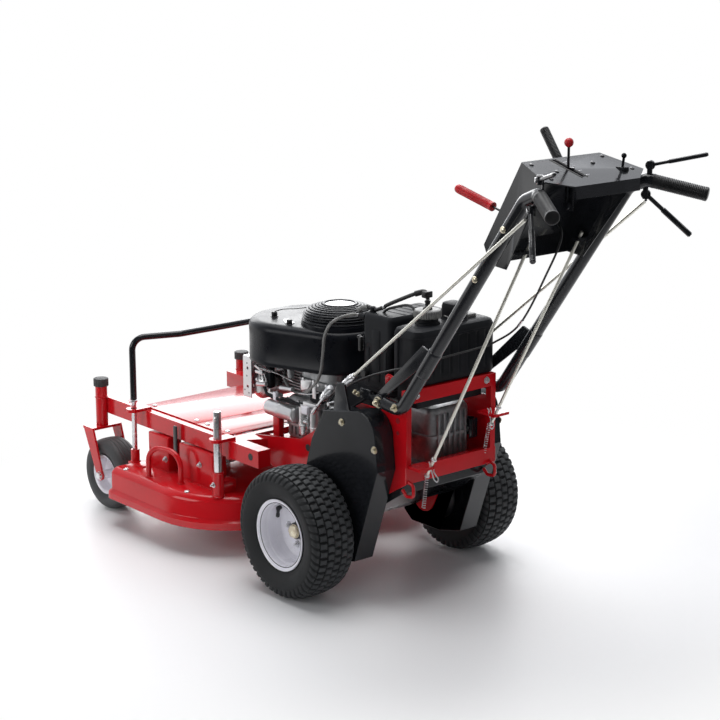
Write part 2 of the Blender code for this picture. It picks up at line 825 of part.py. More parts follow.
def gearbox():
    """Cast case on its feet, with a boss each side round the drive shaft."""
    levels = [(0.006, 0.3303), (0, 0.337), (0, 0.458), (0.008, 0.470)]
    body = stack(rounded_box((-0.026, -0.205), (0.112, -0.034), 0.020, 3), levels)
    bore = rod((-0.2, *SHAFT), (0.2, *SHAFT), SHAFT_R + RUNNING, 16)
    bosses = rod((-0.050, *SHAFT), (0.136, *SHAFT), 0.024, 16)
    ribs = [block((x, -0.213, 0.345), (x + 0.008, -0.200, 0.455)) for x in (0.000, 0.040, 0.080)]
    feet = block((-0.040, -0.195, FRAME_LOW + SHEET + GAP), (0.126, -0.044, 0.332))
    piece(cut(joined(body, bosses, feet, *ribs), bore), "gearbox", ALLOY)


def drive_shaft():
    """Cross shaft with a belt sheave at each end, in line with the wheel's pulley."""
    y, z = SHAFT
    reach = SHEAVE_OUT + 0.003
    shaft = rod((-reach, y, z), (reach, y, z), SHAFT_R, 16)
    sheaves = []
    for _, side in SIDES:
        root_in = SHEAVE_IN + SHEAVE_LIP
        root_out = SHEAVE_OUT - SHEAVE_LIP
        for near, far, radius in (
            (SHEAVE_IN, root_in, SHEAVE_R),
            (root_in, root_out, SHEAVE_ROOT_R),
            (root_out, SHEAVE_OUT, SHEAVE_R),
        ):
            sheaves.append(rod((side * near, y, z), (side * (far + 0.0005), y, z), radius, 16))
    piece(joined(shaft, *sheaves), "drive_shaft", STEEL, (0, y, z))


def cover_outline():
    """The side cover in Y, Z: upright front, round rear shoulder, tapered foot behind the axle."""
    front = [(0.080, 0.110), (0.082, 0.210), (0.030, 0.382), (-0.018, 0.464)]
    shoulder = arc((-0.150, 0.427), 0.060, 95, 10, 5)
    shoulder = [(-0.300 - y, z) for y, z in shoulder]
    foot = [(-0.219, 0.350), (-0.135, 0.104), (-0.060, 0.086), (0.050, 0.086)]
    return front + shoulder + foot


def side_cover(name, side):
    """Shallow pan over the drive belt, open towards the frame, with the rod's stop tab on top."""
    near = FRAME_HALF + 0.0005
    far = COVER_FAR
    low, high = sorted((side * near, side * far))
    outline = cover_outline()
    skin = plate(outline, low, high, "X")
    wall = COVER_SHEET
    in_low, in_high = sorted((side * (near - 0.01), side * (far - wall)))
    hollow = plate(inset(outline, wall), in_low, in_high, "X")
    hub_hole = rod((side * near, 0, TYRE_R), (side * (far + 0.01), 0, TYRE_R), SLEEVE_R + 0.006, 24)
    tab_outline = [(-0.112, 0.465), (-0.045, 0.452), (-0.058, 0.540), (-0.088, 0.546)]
    tab_near = ROD_X + ROD_R + GAP
    tab = plate(tab_outline, *sorted((side * tab_near, side * (tab_near + 0.006))), "X")
    piece(joined(cut(skin, hollow, hub_hole), tab), name, BLACK)


def lower_guard():
    """Sloping plate under the rear window, between the side plates."""
    outline = [(-0.232, 0.286), (-0.120, 0.212), (-0.112, 0.216), (-0.214, 0.314), (-0.232, 0.314)]
    piece(plate(outline, -FRAME_HALF + SHEET + GAP, FRAME_HALF - SHEET - GAP, "X"), "lower_guard", BLACK)


# Cutting deck

def deck_outline():
    """The deck seen from above, anticlockwise: straight left side, round rear corners, sloped front."""
    rear_left = arc(REAR_ARC, REAR_ARC_R, 180, 272, 8)
    rear_right = arc(BLADE_RT, CHAMBER_R + 0.0015, 245, 360, 9)
    front = [
        (DECK_RIGHT, 0.640),
        (DECK_RIGHT - 0.020, 0.668),
        (0.400, 0.700),
        (0.130, DECK_FRONT),
        (DECK_LEFT + 0.012, DECK_FRONT),
        (DECK_LEFT, DECK_FRONT - 0.012),
    ]
    return rear_left + rear_right + front


def deck_shell():
    """Hollow deck with a stepped skirt, an outlet on the right, belt boxes and the pins' sockets."""
    outline = deck_outline()
    band_top = DECK_LOW + DECK_BAND_H
    shoulder = DECK_TOP - DECK_SHOULDER
    skin = stack(
        outline,
        [
            (-DECK_BAND, DECK_LOW),
            (-DECK_BAND, band_top),
            (0.0, band_top + 0.007),
            (0.0, shoulder),
            (DECK_SHOULDER, DECK_TOP),
        ],
    )
    sheet = DECK_SHEET
    hollow = stack(
        outline,
        [
            (sheet - DECK_BAND, DECK_LOW - 0.010),
            (sheet - DECK_BAND, band_top - 0.002),
            (sheet, band_top + 0.005),
            (sheet, shoulder - sheet),
            (DECK_SHOULDER + sheet, DECK_TOP - sheet),
        ],
    )
    outlet = block(
        (DECK_RIGHT - 0.030, CHUTE_Y[0], DECK_LOW - 0.010),
        (DECK_RIGHT + 0.030, CHUTE_Y[1], shoulder - 0.004),
    )
    spindle_holes = []
    for x, y in (BLADE_L, BLADE_RT):
        spindle_holes.append(rod((x, y, DECK_LOW), (x, y, 0.25), SPINDLE_HOUSING_R + GAP, 24))
    boxes = []
    sockets = []
    bores = []
    for _, side in SIDES:
        x = pin_x(side)
        x0 = x + BOX_OFF
        x1 = x0 + DECK_BOX_W
        foot_low, foot_top = DECK_TOP - 0.0028, DECK_TOP + 0.003
        boxes.append(block((x - 0.016, 0.680, foot_low), (x + 0.016, PIN_FRONT_Y + 0.014, foot_top)))
        boxes.append(block((x0, 0.600, DECK_TOP - 0.002), (x1, 0.695, DECK_BOX_TOP)))
        boxes.append(block((x0, 0.395, DECK_TOP - 0.002), (x1, 0.550, DECK_BOX_TOP)))
        sockets.append(rod((x, PIN_REAR_Y, DECK_TOP - 0.003), (x, PIN_REAR_Y, SOCKET_TOP), SOCKET_R, 20))
        sockets.append(block((x0, PIN_REAR_Y, DECK_TOP - 0.002), (x1, 0.400, SOCKET_TOP - 0.030)))
        sockets.append(rod((x, PIN_FRONT_Y, DECK_TOP - 0.002), (x, PIN_FRONT_Y, LUG_TOP), LUG_R, 16))
        floor = (x, PIN_REAR_Y, SOCKET_TOP - SOCKET_DEPTH)
        bores.append(rod(floor, (x, PIN_REAR_Y, SOCKET_TOP + 0.01), REAR_PIN_R + GAP, 20))
        floor = (x, PIN_FRONT_Y, LUG_TOP - 0.020)
        bores.append(rod(floor, (x, PIN_FRONT_Y, LUG_TOP + 0.01), FRONT_PIN_R + GAP, 16))
    hinge_x, hinge_z = HINGE
    near, far = CHUTE_Y[0] + 0.065, CHUTE_Y[1] - 0.065
    barrel = rod((hinge_x, near, hinge_z), (hinge_x, far, hinge_z), HINGE_R, 16)
    hinge_tab = block((DECK_RIGHT - 0.030, near, hinge_z - 0.0030), (hinge_x, far, hinge_z + 0.0010))
    deck = joined(cut(skin, hollow, outlet), *boxes, *sockets, hinge_tab, barrel)
    piece(cut(deck, *spindle_holes, *bores), "deck_shell", RED)


def chute():
    """Flap with two cheeks that hangs from the deck's hinge barrel."""
    x, z = HINGE
    length = CHUTE_REACH
    y0, y1 = CHUTE_Y
    drop = [(x - 0.001, z + 0.0015), (x + 0.010, z + 0.0015), (x + length, z - CHUTE_DROP)]
    drop += [(x + length - 0.003, z - CHUTE_DROP - 0.002), (x + 0.009, z - 0.0015), (x - 0.001, z - 0.0015)]
    top = plate(drop, y0 + 0.004, y1 - 0.004, "Y")
    cheek_outline = [(x + 0.009, z - 0.001), (x + length, z - CHUTE_DROP)]
    cheek_outline += [(x + length - 0.040, z - CHUTE_DROP - 0.008), (x + 0.012, z - 0.055)]
    cheeks = [
        plate(cheek_outline, y0 + 0.004, y0 + 0.007, "Y"),
        plate(cheek_outline, y1 - 0.007, y1 - 0.004, "Y"),
    ]
    knuckles = [
        rod((x, y0 + 0.004, z), (x, y0 + 0.065 - GAP, z), HINGE_R, 16),
        rod((x, y1 - 0.065 + GAP, z), (x, y1 - 0.004, z), HINGE_R, 16),
    ]
    clear = rod((x, y0 + 0.065 - GAP, z), (x, y1 - 0.065 + GAP, z), HINGE_R + 0.0035, 16)
    body = cut(joined(top, *cheeks), clear)
    piece(joined(body, *knuckles), "discharge_chute", PLASTIC, (x, (y0 + y1) / 2, z))


def lift_loop():
    """Bent rod standing on the deck's left side."""
    foot, top = DECK_TOP + GAP, 0.250
    points = [(-0.306, 0.607, foot), (-0.306, 0.607, top), (-0.277, 0.498, top), (-0.277, 0.498, foot)]
    piece(pipe(bent(points, 0.045, 5), 0.0072, 2), "lift_loop", RED)


def lift_bar():
    """The bent bar over the deck's front, whose two legs go on down as the front height pins."""
    left = PIN_LEFT_X
    right = PIN_RIGHT_X
    set_back = 0.044
    shift = 0.128
    y = PIN_FRONT_Y
    top = LIFT_BAR_TOP
    points = [(left, y, LIFT_BAR_FOOT), (left, y, top), (left + shift, y - set_back, top)]
    points += [(right - shift, y - set_back, top), (right, y, top), (right, y, LIFT_BAR_FOOT)]
    bar = pipe(bent(points, 0.035, 4), LIFT_BAR_R, 2)
    low, high = LUG_TOP - 0.018, LIFT_BAR_FOOT + 0.002
    pins = [rod((x, y, low), (x, y, high), FRONT_PIN_R, 12) for x in (left, right)]
    piece(joined(bar, *pins), "lift_bar", BLACK)


def rear_pin(name, side):
    """Height pin in its socket, up through the frame's ear."""
    x = pin_x(side)
    low = SOCKET_TOP - SOCKET_DEPTH + GAP
    piece(rod((x, PIN_REAR_Y, low), (x, PIN_REAR_Y, REAR_PIN_TOP), REAR_PIN_R, 20), name, ZINC)


def spindle(name, centre):
    """Bearing housing, shaft and belt pulley of one cutter."""
    x, y = centre
    r = SPINDLE_HOUSING_R
    shaft_low = BLADE_Z + BLADE_T + 0.0005
    body = rod((x, y, 0.118), (x, y, 0.190), r - GAP, 24)
    shaft = rod((x, y, shaft_low), (x, y, 0.222), 0.0125, 16)
    pulley = turned(
        [
            (SPINDLE_PULLEY_R, 0.018),
            (SPINDLE_PULLEY_R, 0.016),
            (SPINDLE_PULLEY_R - 0.009, 0.011),
            (SPINDLE_PULLEY_R - 0.009, 0.008),
            (SPINDLE_PULLEY_R, 0.003),
            (SPINDLE_PULLEY_R, 0.001),
            (0.010, 0.001),
            (0.010, 0.018),
        ],
        (x, y, 0.194),
        steps=24,
    )
    piece(joined(body, shaft, pulley), name, STEEL, (x, y, BLADE_Z))


def blade(name, centre, heading):
    """A flat bar with sharpened ends and a raised sail along each trailing edge."""
    x, y = centre
    half_w = 0.029
    outline = [(-BLADE_R, -half_w * 0.6), (-BLADE_R + 0.012, -half_w), (0.030, -half_w), (BLADE_R, -half_w)]
    outline += [(BLADE_R, half_w * 0.6), (BLADE_R - 0.012, half_w), (-0.030, half_w), (-BLADE_R, half_w)]
    bar = plate(outline, BLADE_Z, BLADE_Z + BLADE_T, "Z")
    edge = half_w - 0.0005
    low, high = BLADE_Z + 0.003, BLADE_Z + 0.016
    sails = [
        block((BLADE_R - 0.070, -edge, low), (BLADE_R - 0.002, -edge + 0.006, high)),
        block((-BLADE_R + 0.002, edge - 0.006, low), (-BLADE_R + 0.070, edge, high)),
    ]
    hub = rod((0, 0, BLADE_Z - 0.008), (0, 0, BLADE_Z + 0.001), 0.016, 6)
    body = joined(bar, *sails, hub)
    for part_shape in (body, *sails, hub):
        part_shape.data.transform(Matrix.Rotation(heading, 4, "Z"))
        part_shape.data.transform(Matrix.Translation((x, y, 0)))
    piece(body, name, BLADE_STEEL, (x, y, BLADE_Z))


# Engine

def crankcase():
    """Block on the base plate, narrower cylinder above it, fins towards the front."""
    levels = [(0.004, ENGINE_BASE + GAP), (0, ENGINE_BASE + 0.008)]
    levels += [(0, BLOCK_TOP - 0.012), (0.010, BLOCK_TOP)]
    case = stack(rounded_box((-0.105, 0.075), (0.105, 0.262), 0.018, 3), levels)
    levels = [(0, BLOCK_TOP - 0.002), (0, HOUSING_LOW + 0.060)]
    upper = stack(rounded_box((-0.080, 0.090), (0.080, 0.245), 0.030, 3), levels)
    front = MUFFLER_Y - MUFFLER_R - 0.0035
    fins = []
    for z in np.arange(BLOCK_TOP - 0.005, HOUSING_LOW - 0.0019, 0.012):
        fins.append(block((-0.060, 0.240, z), (0.060, front, z + 0.004)))
    barrel = block((-0.045, 0.240, 0.420), (0.045, front - 0.005, HOUSING_LOW))
    bore = rod((0, ENGINE_Y, 0.25), (0, ENGINE_Y, 0.70), CRANK_R + RUNNING, 16)
    low, inset = HOUSING_LOW + 0.005, HOUSING_WALL + GAP
    room = stack(housing_outline(), [(inset, low), (inset, low + 0.015)])
    bar = block((-HOUSING_HALF_X, 0.180, low - 0.005), (HOUSING_HALF_X, 0.210, low + 0.020))
    shoulder = combine(room, [bar], "INTERSECT")
    piece(cut(joined(case, upper, barrel, shoulder, *fins), bore), "crankcase", ALLOY)


def housing_outline():
    """The cover seen from above: wide and round in front, drawn in to a circle about the crankshaft."""
    x = HOUSING_HALF_X - HOUSING_CORNER
    y = HOUSING_FRONT - HOUSING_CORNER
    lean = math.degrees(math.atan2(HOUSING_REAR_R - HOUSING_CORNER - x, y - ENGINE_Y))
    front_right = arc((x, y), HOUSING_CORNER, lean, 90, 5)
    front_left = arc((-x, y), HOUSING_CORNER, 90, 180 - lean, 5)
    rear = arc((0.0, ENGINE_Y), HOUSING_REAR_R, 180 - lean, 360 + lean, 12)
    return front_right + front_left + rear


def blower_housing():
    """Thin cover over the engine, open below, with a raised seat round the mouth for the air."""
    outline = housing_outline()
    r = HOUSING_ROUND
    top = HOUSING_TOP
    levels = [(0, HOUSING_LOW), (0, top - r), (r * 0.3, top - r * 0.3), (r, top)]
    wall = HOUSING_WALL
    hollow = [(wall, HOUSING_LOW - 0.01), (wall, top - r)]
    hollow += [(r * 0.3 + wall, top - r * 0.3 - wall), (r + wall, top - wall)]
    skin = cut(stack(outline, levels), stack(outline, hollow))
    collar = rod((0, ENGINE_Y, top - 0.002), (0, ENGINE_Y, RECOIL_SEAT), RECOIL_R + 0.002, 32)
    mouth = rod((0, ENGINE_Y, top - 0.02), (0, ENGINE_Y, RECOIL_SEAT + 0.02), RECOIL_R - 0.014, 32)
    bridge = block((-0.020, 0.290, HOUSING_LOW + 0.001), (0.020, 0.310, HOUSING_TOP - 0.001))
    half = HOUSING_HALF_X - 0.002
    seat = block((-half, 0.290, HOUSING_LOW + 0.0005), (half, 0.3000, HOUSING_LOW + 0.030))
    fin_room = block((-0.062, 0.230, 0.40), (0.062, 0.340, HOUSING_LOW + 0.0045))
    piece(cut(joined(skin, collar, bridge, seat), mouth, fin_room), "blower_housing", PLASTIC)


def recoil_cover():
    """Domed cover over the mouth, hollow below."""
    base = RECOIL_SEAT + GAP
    lift = RECOIL_TOP - base
    wall = 0.0035
    outer = [(0.044, lift), (0.062, lift - 0.006), (0.079, lift - 0.024)]
    outer += [(RECOIL_R, 0.006), (RECOIL_R, 0.0)]
    inner = [(RECOIL_R - wall * 2, 0.0), (0.076, lift - 0.028), (0.059, lift - 0.010), (0.043, lift - wall)]
    crown = [(0.0, lift - wall)]
    profile = [(0.0, lift)] + outer + inner + crown
    piece(turned(profile, (0, ENGINE_Y, base), steps=28), "recoil_cover", PLASTIC)


def crankshaft():
    """Upright shaft with the flywheel above and a double belt pulley below the base plate."""
    shaft = rod((0, ENGINE_Y, 0.262), (0, ENGINE_Y, HOUSING_TOP - 0.014), CRANK_R, 16)
    flywheel = rod((0, ENGINE_Y, HOUSING_LOW + 0.064), (0, ENGINE_Y, HOUSING_TOP - 0.020), 0.070, 20)
    pulley = turned(
        [
            (ENGINE_PULLEY_R, 0.034),
            (ENGINE_PULLEY_R, 0.031),
            (ENGINE_PULLEY_R - 0.010, 0.025),
            (ENGINE_PULLEY_R, 0.019),
            (ENGINE_PULLEY_R, 0.016),
            (ENGINE_PULLEY_R - 0.010, 0.010),
            (ENGINE_PULLEY_R, 0.003),
            (ENGINE_PULLEY_R, 0.0),
            (0.010, 0.0),
            (0.010, 0.034),
        ],
        (0, ENGINE_Y, 0.266),
        steps=20,
    )
    piece(joined(shaft, flywheel, pulley), "crankshaft", STEEL, (0, ENGINE_Y, 0.30))


def muffler():
    """Round-ended can across the engine's front, held by its pipe and flange."""
    y, z, end = MUFFLER_Y, MUFFLER_Z, MUFFLER_HALF
    half = [(0.0, end), (MUFFLER_R * 0.6, end - 0.002), (MUFFLER_R, end - 0.012)]
    profile = half + [(r, -h) for r, h in reversed(half)]
    can = turned(profile, (0, y, z), facing_out(1), 24)
    pipe_up = rod((0.02, y, z), (0.02, y - 0.026, z + 0.030), 0.010, 12)
    flange = block((0.000, y - MUFFLER_R - 0.0032, z + 0.012), (0.040, y - 0.0205, z + 0.046))
    piece(joined(can, pipe_up, flange), "muffler", STEEL)


def muffler_guard():
    """Bent plate in front of the can and round its left end."""
    front, back, low = GUARD_FRONT, GUARD_FRONT - 0.0035, GUARD_LOW
    top = HOUSING_LOW - GAP
    face = block((-0.118, back, low), (0.115, front, top))
    end = block((-0.121, front - 0.0355, low), (-0.118, front, top))
    lip = block((-0.121, front - 0.0285, top - 0.005), (0.115, front, top))
    y = front - 0.0195
    holes = [rod((-0.13, y, z), (-0.11, y, z), 0.004, 10) for z in (0.425, 0.475)]
    piece(cut(joined(face, end, lip), *holes), "muffler_guard", STEEL)


def oil_filter():
    """Can lying fore and aft beside the block, carried by a short pipe out of the block's side."""
    r, end = FILTER_R, FILTER_LENGTH
    can = turned(
        [(0.0, end), (r - 0.004, end), (r, end - 0.004), (r, 0.004), (r - 0.003, 0.0), (0.0, 0.0)],
        (FILTER_X, FILTER_REAR, FILTER_Z),
        (-math.pi / 2, 0.0, 0.0),
        24,
    )
    y = FILTER_REAR + 0.030
    neck = rod((-0.105 - GAP, y, FILTER_Z), (FILTER_X, y, FILTER_Z), 0.012, 16)
    piece(joined(can, neck), "oil_filter", STEEL)


def air_box():
    """Tall air-filter case behind the engine, standing on the base plate."""
    half, top = AIR_BOX_HALF_X, AIR_BOX_TOP
    outline = rounded_box((-half, AIR_BOX_REAR), (half, AIR_BOX_FRONT), 0.014, 3)
    low = HOUSING_LOW + 0.004
    body = stack(outline, [(0.004, low), (0, low + 0.006), (0, top - 0.012), (0.008, top)])
    foot = block((-0.060, -0.028, ENGINE_BASE + GAP), (0.060, 0.0747, 0.490))
    step = block((-0.060, -0.110, 0.487), (0.060, 0.0300, low + 0.002))
    rib = block((-half - 0.0015, -0.100, 0.530), (-half + 0.001, -0.070, 0.660))
    boot = rod(LEAD_BOOT, (LEAD_BOOT[0], AIR_BOX_FRONT - 0.004, LEAD_BOOT[2]), 0.008, 12)
    elbow = rod((*HOSE_ELBOW, top - 0.004), (*HOSE_ELBOW, top + 0.0135), 0.008, 12)
    piece(joined(body, foot, step, rib, boot, elbow), "air_box", PLASTIC)


def fuel_tank():
    """Tank over the rear frame, with a filler neck, an outlet hump and a saddle in the window."""
    outline = rounded_box((TANK_LEFT, TANK_REAR), (TANK_RIGHT, TANK_FRONT), 0.026, 4)
    low = FRAME_TOP + GAP
    levels = [(0.010, low), (0, low + 0.010)]
    levels += [(0, TANK_TOP - 0.014), (0.005, TANK_TOP - 0.004), (0.014, TANK_TOP)]
    body = stack(outline, levels)
    neck = rod((NECK_X, NECK_Y, TANK_TOP - 0.004), (NECK_X, NECK_Y, NECK_TOP), NECK_R, 24)
    levels = [(0, TANK_TOP - 0.004), (0, TANK_TOP + 0.033), (0.008, TANK_TOP + 0.043)]
    hump = stack(rounded_box((0.034, -0.230), (0.082, -0.170), 0.016, 3), levels)
    recess = block((TANK_LEFT - 0.01, -0.200, 0.575), (TANK_LEFT + 0.004, -0.180, 0.660))
    saddle = block((-0.095, -0.236, 0.4905), (0.120, -0.162, low + 0.004))
    piece(cut(joined(body, neck, hump, saddle), recess), "fuel_tank", PLASTIC)


def fuel_cap():
    low = NECK_TOP + GAP
    cap = turned(
        [
            (0.0, CAP_HEIGHT),
            (FUEL_CAP_R - 0.006, CAP_HEIGHT),
            (FUEL_CAP_R, CAP_HEIGHT - 0.004),
            (FUEL_CAP_R, 0.0),
            (0.0, 0.0),
        ],
        (NECK_X, NECK_Y, low),
        steps=24,
    )
    nipple = rod((NECK_X, NECK_Y, low + CAP_HEIGHT - 0.002), (NECK_X, NECK_Y, NIPPLE_TOP), NIPPLE_R, 12)
    piece(joined(cap, nipple), "fuel_cap", PLASTIC)


# Handle

def handle_tube(name, side):
    """Bent tube from the rear frame to the grip, with its foot, brace and lever brackets."""
    x = side * TUBE_X
    head = (x, *TUBE_HEAD)
    base = Vector(sided(side, *GRIP_BASE))
    end = Vector(sided(side, *GRIP_END))
    inner_end = end - (end - base).normalized() * 0.010
    points = [(x, *TUBE_NOSE), (x, *TUBE_FOOT), head, base, inner_end]
    tube = pipe(bent(points, 0.045, 4), TUBE_R, 2)
    nose = rod((x - 0.011, -0.186, 0.513), (x + 0.011, -0.186, 0.513), 0.0185, 16)
    brace = plate(
        [(-0.345, 0.640), (-0.352, 0.668), (-0.330, 0.676), (-0.172, 0.532), (-0.180, 0.512)],
        *sorted((side * (TUBE_X - 0.0025), side * (TUBE_X + 0.0025))),
        "X",
    )
    spigot = cut(tube, grip_room(side))
    inward = lever_axis(side) * side
    brackets = []
    for pivot, rise in ((PRESENCE_PIVOT, -0.0325), (DRIVE_PIVOT, 0.034)):
        start = Vector(sided(side, *pivot)) + inward * (HAND_DISC_T / 2 + GAP + 0.002)
        sink = Vector((0, 0, -0.010 if rise > 0 else 0.010))
        brackets.append(strap(start + sink, start + Vector((0, 0, rise)), inward, 0.012, 0.004))
    piece(joined(spigot, nose, brace, *brackets), name, BLACK)


def grip_room(side):
    """The sleeve that the grip fills, cut away from the end of the tube."""
    base = Vector(sided(side, *GRIP_BASE))
    end = Vector(sided(side, *GRIP_END))
    along = (end - base).normalized()
    start = base + along * 0.012
    outer = rod(start, end + along * 0.02, GRIP_R + 0.01, 20)
    core = rod(start - along * 0.01, end - along * 0.012, GRIP_CORE_R, 20)
    return cut(outer, core)


def grip(name, side):
    base = Vector(sided(side, *GRIP_BASE))
    end = Vector(sided(side, *GRIP_END))
    along = (end - base).normalized()
    start = base + along * (0.012 + GAP)
    sleeve = rod(start, end, GRIP_R, 20)
    bore = rod(start - along * 0.01, end - along * (0.012 - GAP), GRIP_CORE_R + GAP, 20)
    piece(cut(sleeve, bore), name, GRIP)


def bent_sheet(strips, thickness):
    """Sheet metal: quads that share edges, given a thickness inwards."""
    bm = bmesh.new()
    spots = {}
    for strip in strips:
        corners = []
        for corner in strip:
            key = tuple(round(c, 6) for c in corner)
            if key not in spots:
                spots[key] = bm.verts.new(corner)
            corners.append(spots[key])
        bm.faces.new(corners)
    bmesh.ops.triangulate(bm, faces=bm.faces)
    bmesh.ops.recalc_face_normals(bm, faces=bm.faces)
    obj = solid(bm)
    wall = obj.modifiers.new("sheet", "SOLIDIFY")
    wall.thickness = thickness
    wall.offset = 0.0
    wall.use_even_offset = True
    return obj


def console():
    """Folded sheet between the tubes: top with a lever slot, sloping front, cheeks and brackets."""
    a, p, d = CONSOLE_A, CONSOLE_P, CONSOLE_D
    foot = (a[0] + 0.001, CONSOLE_FOOT_Y, CONSOLE_FOOT_Z)
    hem = (a[0] + 0.001, CONSOLE_HEM_Y, CONSOLE_HEM_Z)
    lip = (d[0] * 0.97, d[1] - 0.004, d[2] - CONSOLE_LIP)
    low = (a[0] + 0.001, -0.556, 0.883)
    m = mirrored
    strips = [
        (m(a), m(p), m(d), d, p, a),
        (m(d), m(lip), lip, d),
        (m(a), a, foot, m(foot)),
        (m(foot), foot, hem, m(hem)),
        (a, p, low, hem, foot),
        (m(a), m(foot), m(hem), m(low), m(p)),
    ]
    shell = bent_sheet(strips, CONSOLE_SHEET)
    slot = block((SLOT_X - SLOT_W / 2, SLOT_Y[0], 1.05), (SLOT_X + SLOT_W / 2, SLOT_Y[1], 1.16))
    tubes = []
    for _, s in SIDES:
        run = [(s * TUBE_X, *TUBE_FOOT), (s * TUBE_X, -0.655, 1.0587)]
        tubes.append(pipe(run, TUBE_R + 0.0006, 3))
    px, py, pz = SHIFT_PIVOT
    tab_x = px + HUB_DISC_T / 2 + GAP
    shift_tab = block((tab_x, py - 0.012, pz - 0.012), (tab_x + 0.004, py + 0.012, 1.112))
    brackets = [shift_tab]
    for pivot in (BLADE_PIVOT, BRAKE_PIVOT):
        x, y, z = pivot
        side_x = x + HUB_DISC_T / 2 + GAP
        brackets.append(block((side_x, y - 0.030, z - 0.012), (side_x + 0.004, y + 0.009, z + 0.009)))
    for _, s in SIDES:
        reach = TUBE_X - TUBE_R - GAP
        inner = TUBE_X - 0.046
        corners = sorted_corners((s * inner, -0.640, 1.030), (s * reach, -0.622, 1.060))
        brackets.append(block(*corners))
    bores = []
    for x, low, top in (
        (-CROSS_ROD_X, BRAKE_ROD_LOW, BRAKE_ROD_TOP),
        (CROSS_ROD_X, BLADE_ROD_LOW, BLADE_ROD_TOP),
    ):
        y, z = towards(top, low, 0.020)
        x0, x1 = sorted((x * 0.91, x * 1.30))
        brackets.append(block((x0, y - 0.009, z - 0.0035), (x1, y + 0.016, z + 0.0035)))
        start, end = towards(top, low, -0.02), towards(top, low, 0.05)
        bores.append(rod((x, *start), (x, *end), ROD_R + RUNNING, 12))
    shell = cut(shell, slot, *tubes)
    piece(cut(joined(shell, *brackets), *bores), "console", BLACK)


def sorted_corners(one, other):
    pairs = [sorted(pair) for pair in zip(one, other)]
    return tuple(p[0] for p in pairs), tuple(p[1] for p in pairs)


def hand_lever(name, pivot, tip, grip_length, finish):
    """Rod with a sleeve grip, turning on a disc beside its bracket."""
    x, y, z = pivot
    disc = rod((x - HUB_DISC_T / 2, y, z), (x + HUB_DISC_T / 2, y, z), HUB_DISC_R * 0.8, 16)
    tip_point = Vector(tip)
    along = (tip_point - Vector(pivot)).normalized()
    arm = rod(pivot, tip_point - along * 0.004, LEVER_ROD_R * 0.55, 12)
    sleeve = rod(tip_point - along * grip_length, tip_point, LEVER_GRIP_R, 16)
    piece(joined(disc, arm, sleeve), name, finish, pivot)


def shift_lever():
    x, y, z = SHIFT_PIVOT
    disc = rod((x - HUB_DISC_T / 2, y, z), (x + HUB_DISC_T / 2, y, z), HUB_DISC_R * 0.9, 16)
    top = z + STEM_LENGTH
    stem = rod((x, y, z), (x, y, top), STEM_R, 12)
    piece(joined(disc, stem, ball((x, y, top), BALL_R)), "shift_lever", RED_GRIP, SHIFT_PIVOT)


def lever_axis(side):
    """Level, square to the grip, pointing so that a positive turn lifts the lever's free end."""
    grip_way = Vector(sided(side, *GRIP_END)) - Vector(sided(side, *GRIP_BASE))
    across = Vector((grip_way.y, -grip_way.x, 0.0)).normalized()
    return across


def lever_disc(pivot, axis, start, end, radius=HUB_DISC_R):
    pivot = Vector(pivot)
    return rod(pivot + axis * start, pivot + axis * end, radius, 16)


def presence_lever(name, side):
    """Upper lever, squeezed down to the grip."""
    pivot = Vector(sided(side, *PRESENCE_PIVOT))
    tip = Vector(sided(side, *PRESENCE_TIP))
    axis = lever_axis(side)
    disc = lever_disc(pivot, axis, -HAND_DISC_T / 2, HAND_DISC_T / 2)
    arm = rod(pivot, tip, LEVER_ROD_R, 10)
    piece(joined(disc, arm), name, BLACK, pivot)


def drive_lever(name, side):
    """Lower lever, squeezed up to the grip, with the crank that lifts the drive rod."""
    pivot = Vector(sided(side, *DRIVE_PIVOT))
    tip = Vector(sided(side, *DRIVE_TIP))
    axis = lever_axis(side)
    disc = lever_disc(pivot, axis, -HAND_DISC_T / 2, HAND_DISC_T / 2)
    along = (tip - pivot).normalized()
    arm = rod(pivot, tip, LEVER_ROD_R, 10)
    sleeve = rod(tip - along * DRIVE_GRIP, tip, LEVER_ROD_R + 0.002, 12)
    rod_end = Vector((side * ROD_X, *DRIVE_ROD_TOP))
    rod_way = (rod_end - Vector((side * ROD_X, *DRIVE_ROD_LOW))).normalized()
    crank = rod(pivot, rod_end + rod_way * (CRANK_ARM_R + GAP + 0.0012), CRANK_ARM_R, 10)
    piece(joined(disc, arm, sleeve, crank), name, BLACK, pivot)


def control_rod(name, x, low, top):
    piece(pipe([(x, *low), (x, *top)], ROD_R, 2), name, ZINC)


def throttle_cable():
    """From the console's lever, down the tank's left side to the carburettor."""
    route = [
        (0.020, -0.540, 0.990),
        (0.020, -0.585, 0.950),
        (0.022, -0.535, 0.845),
        (0.052, -0.430, 0.715),
        (0.100, -0.300, 0.640),
        (0.070, -0.262, 0.620),
        (-0.041, -0.260, 0.614),
        (-0.120, -0.262, 0.606),
        (-0.145, -0.220, 0.596),
        (-0.144, -0.120, 0.560),
        (-0.140, -0.020, 0.512),
        (-0.126, 0.060, 0.465),
        (-0.1078, 0.102, 0.398),
    ]
    piece(pipe(smooth_run(route, 0.035), 0.0025, 2), "throttle_cable", GRIP)


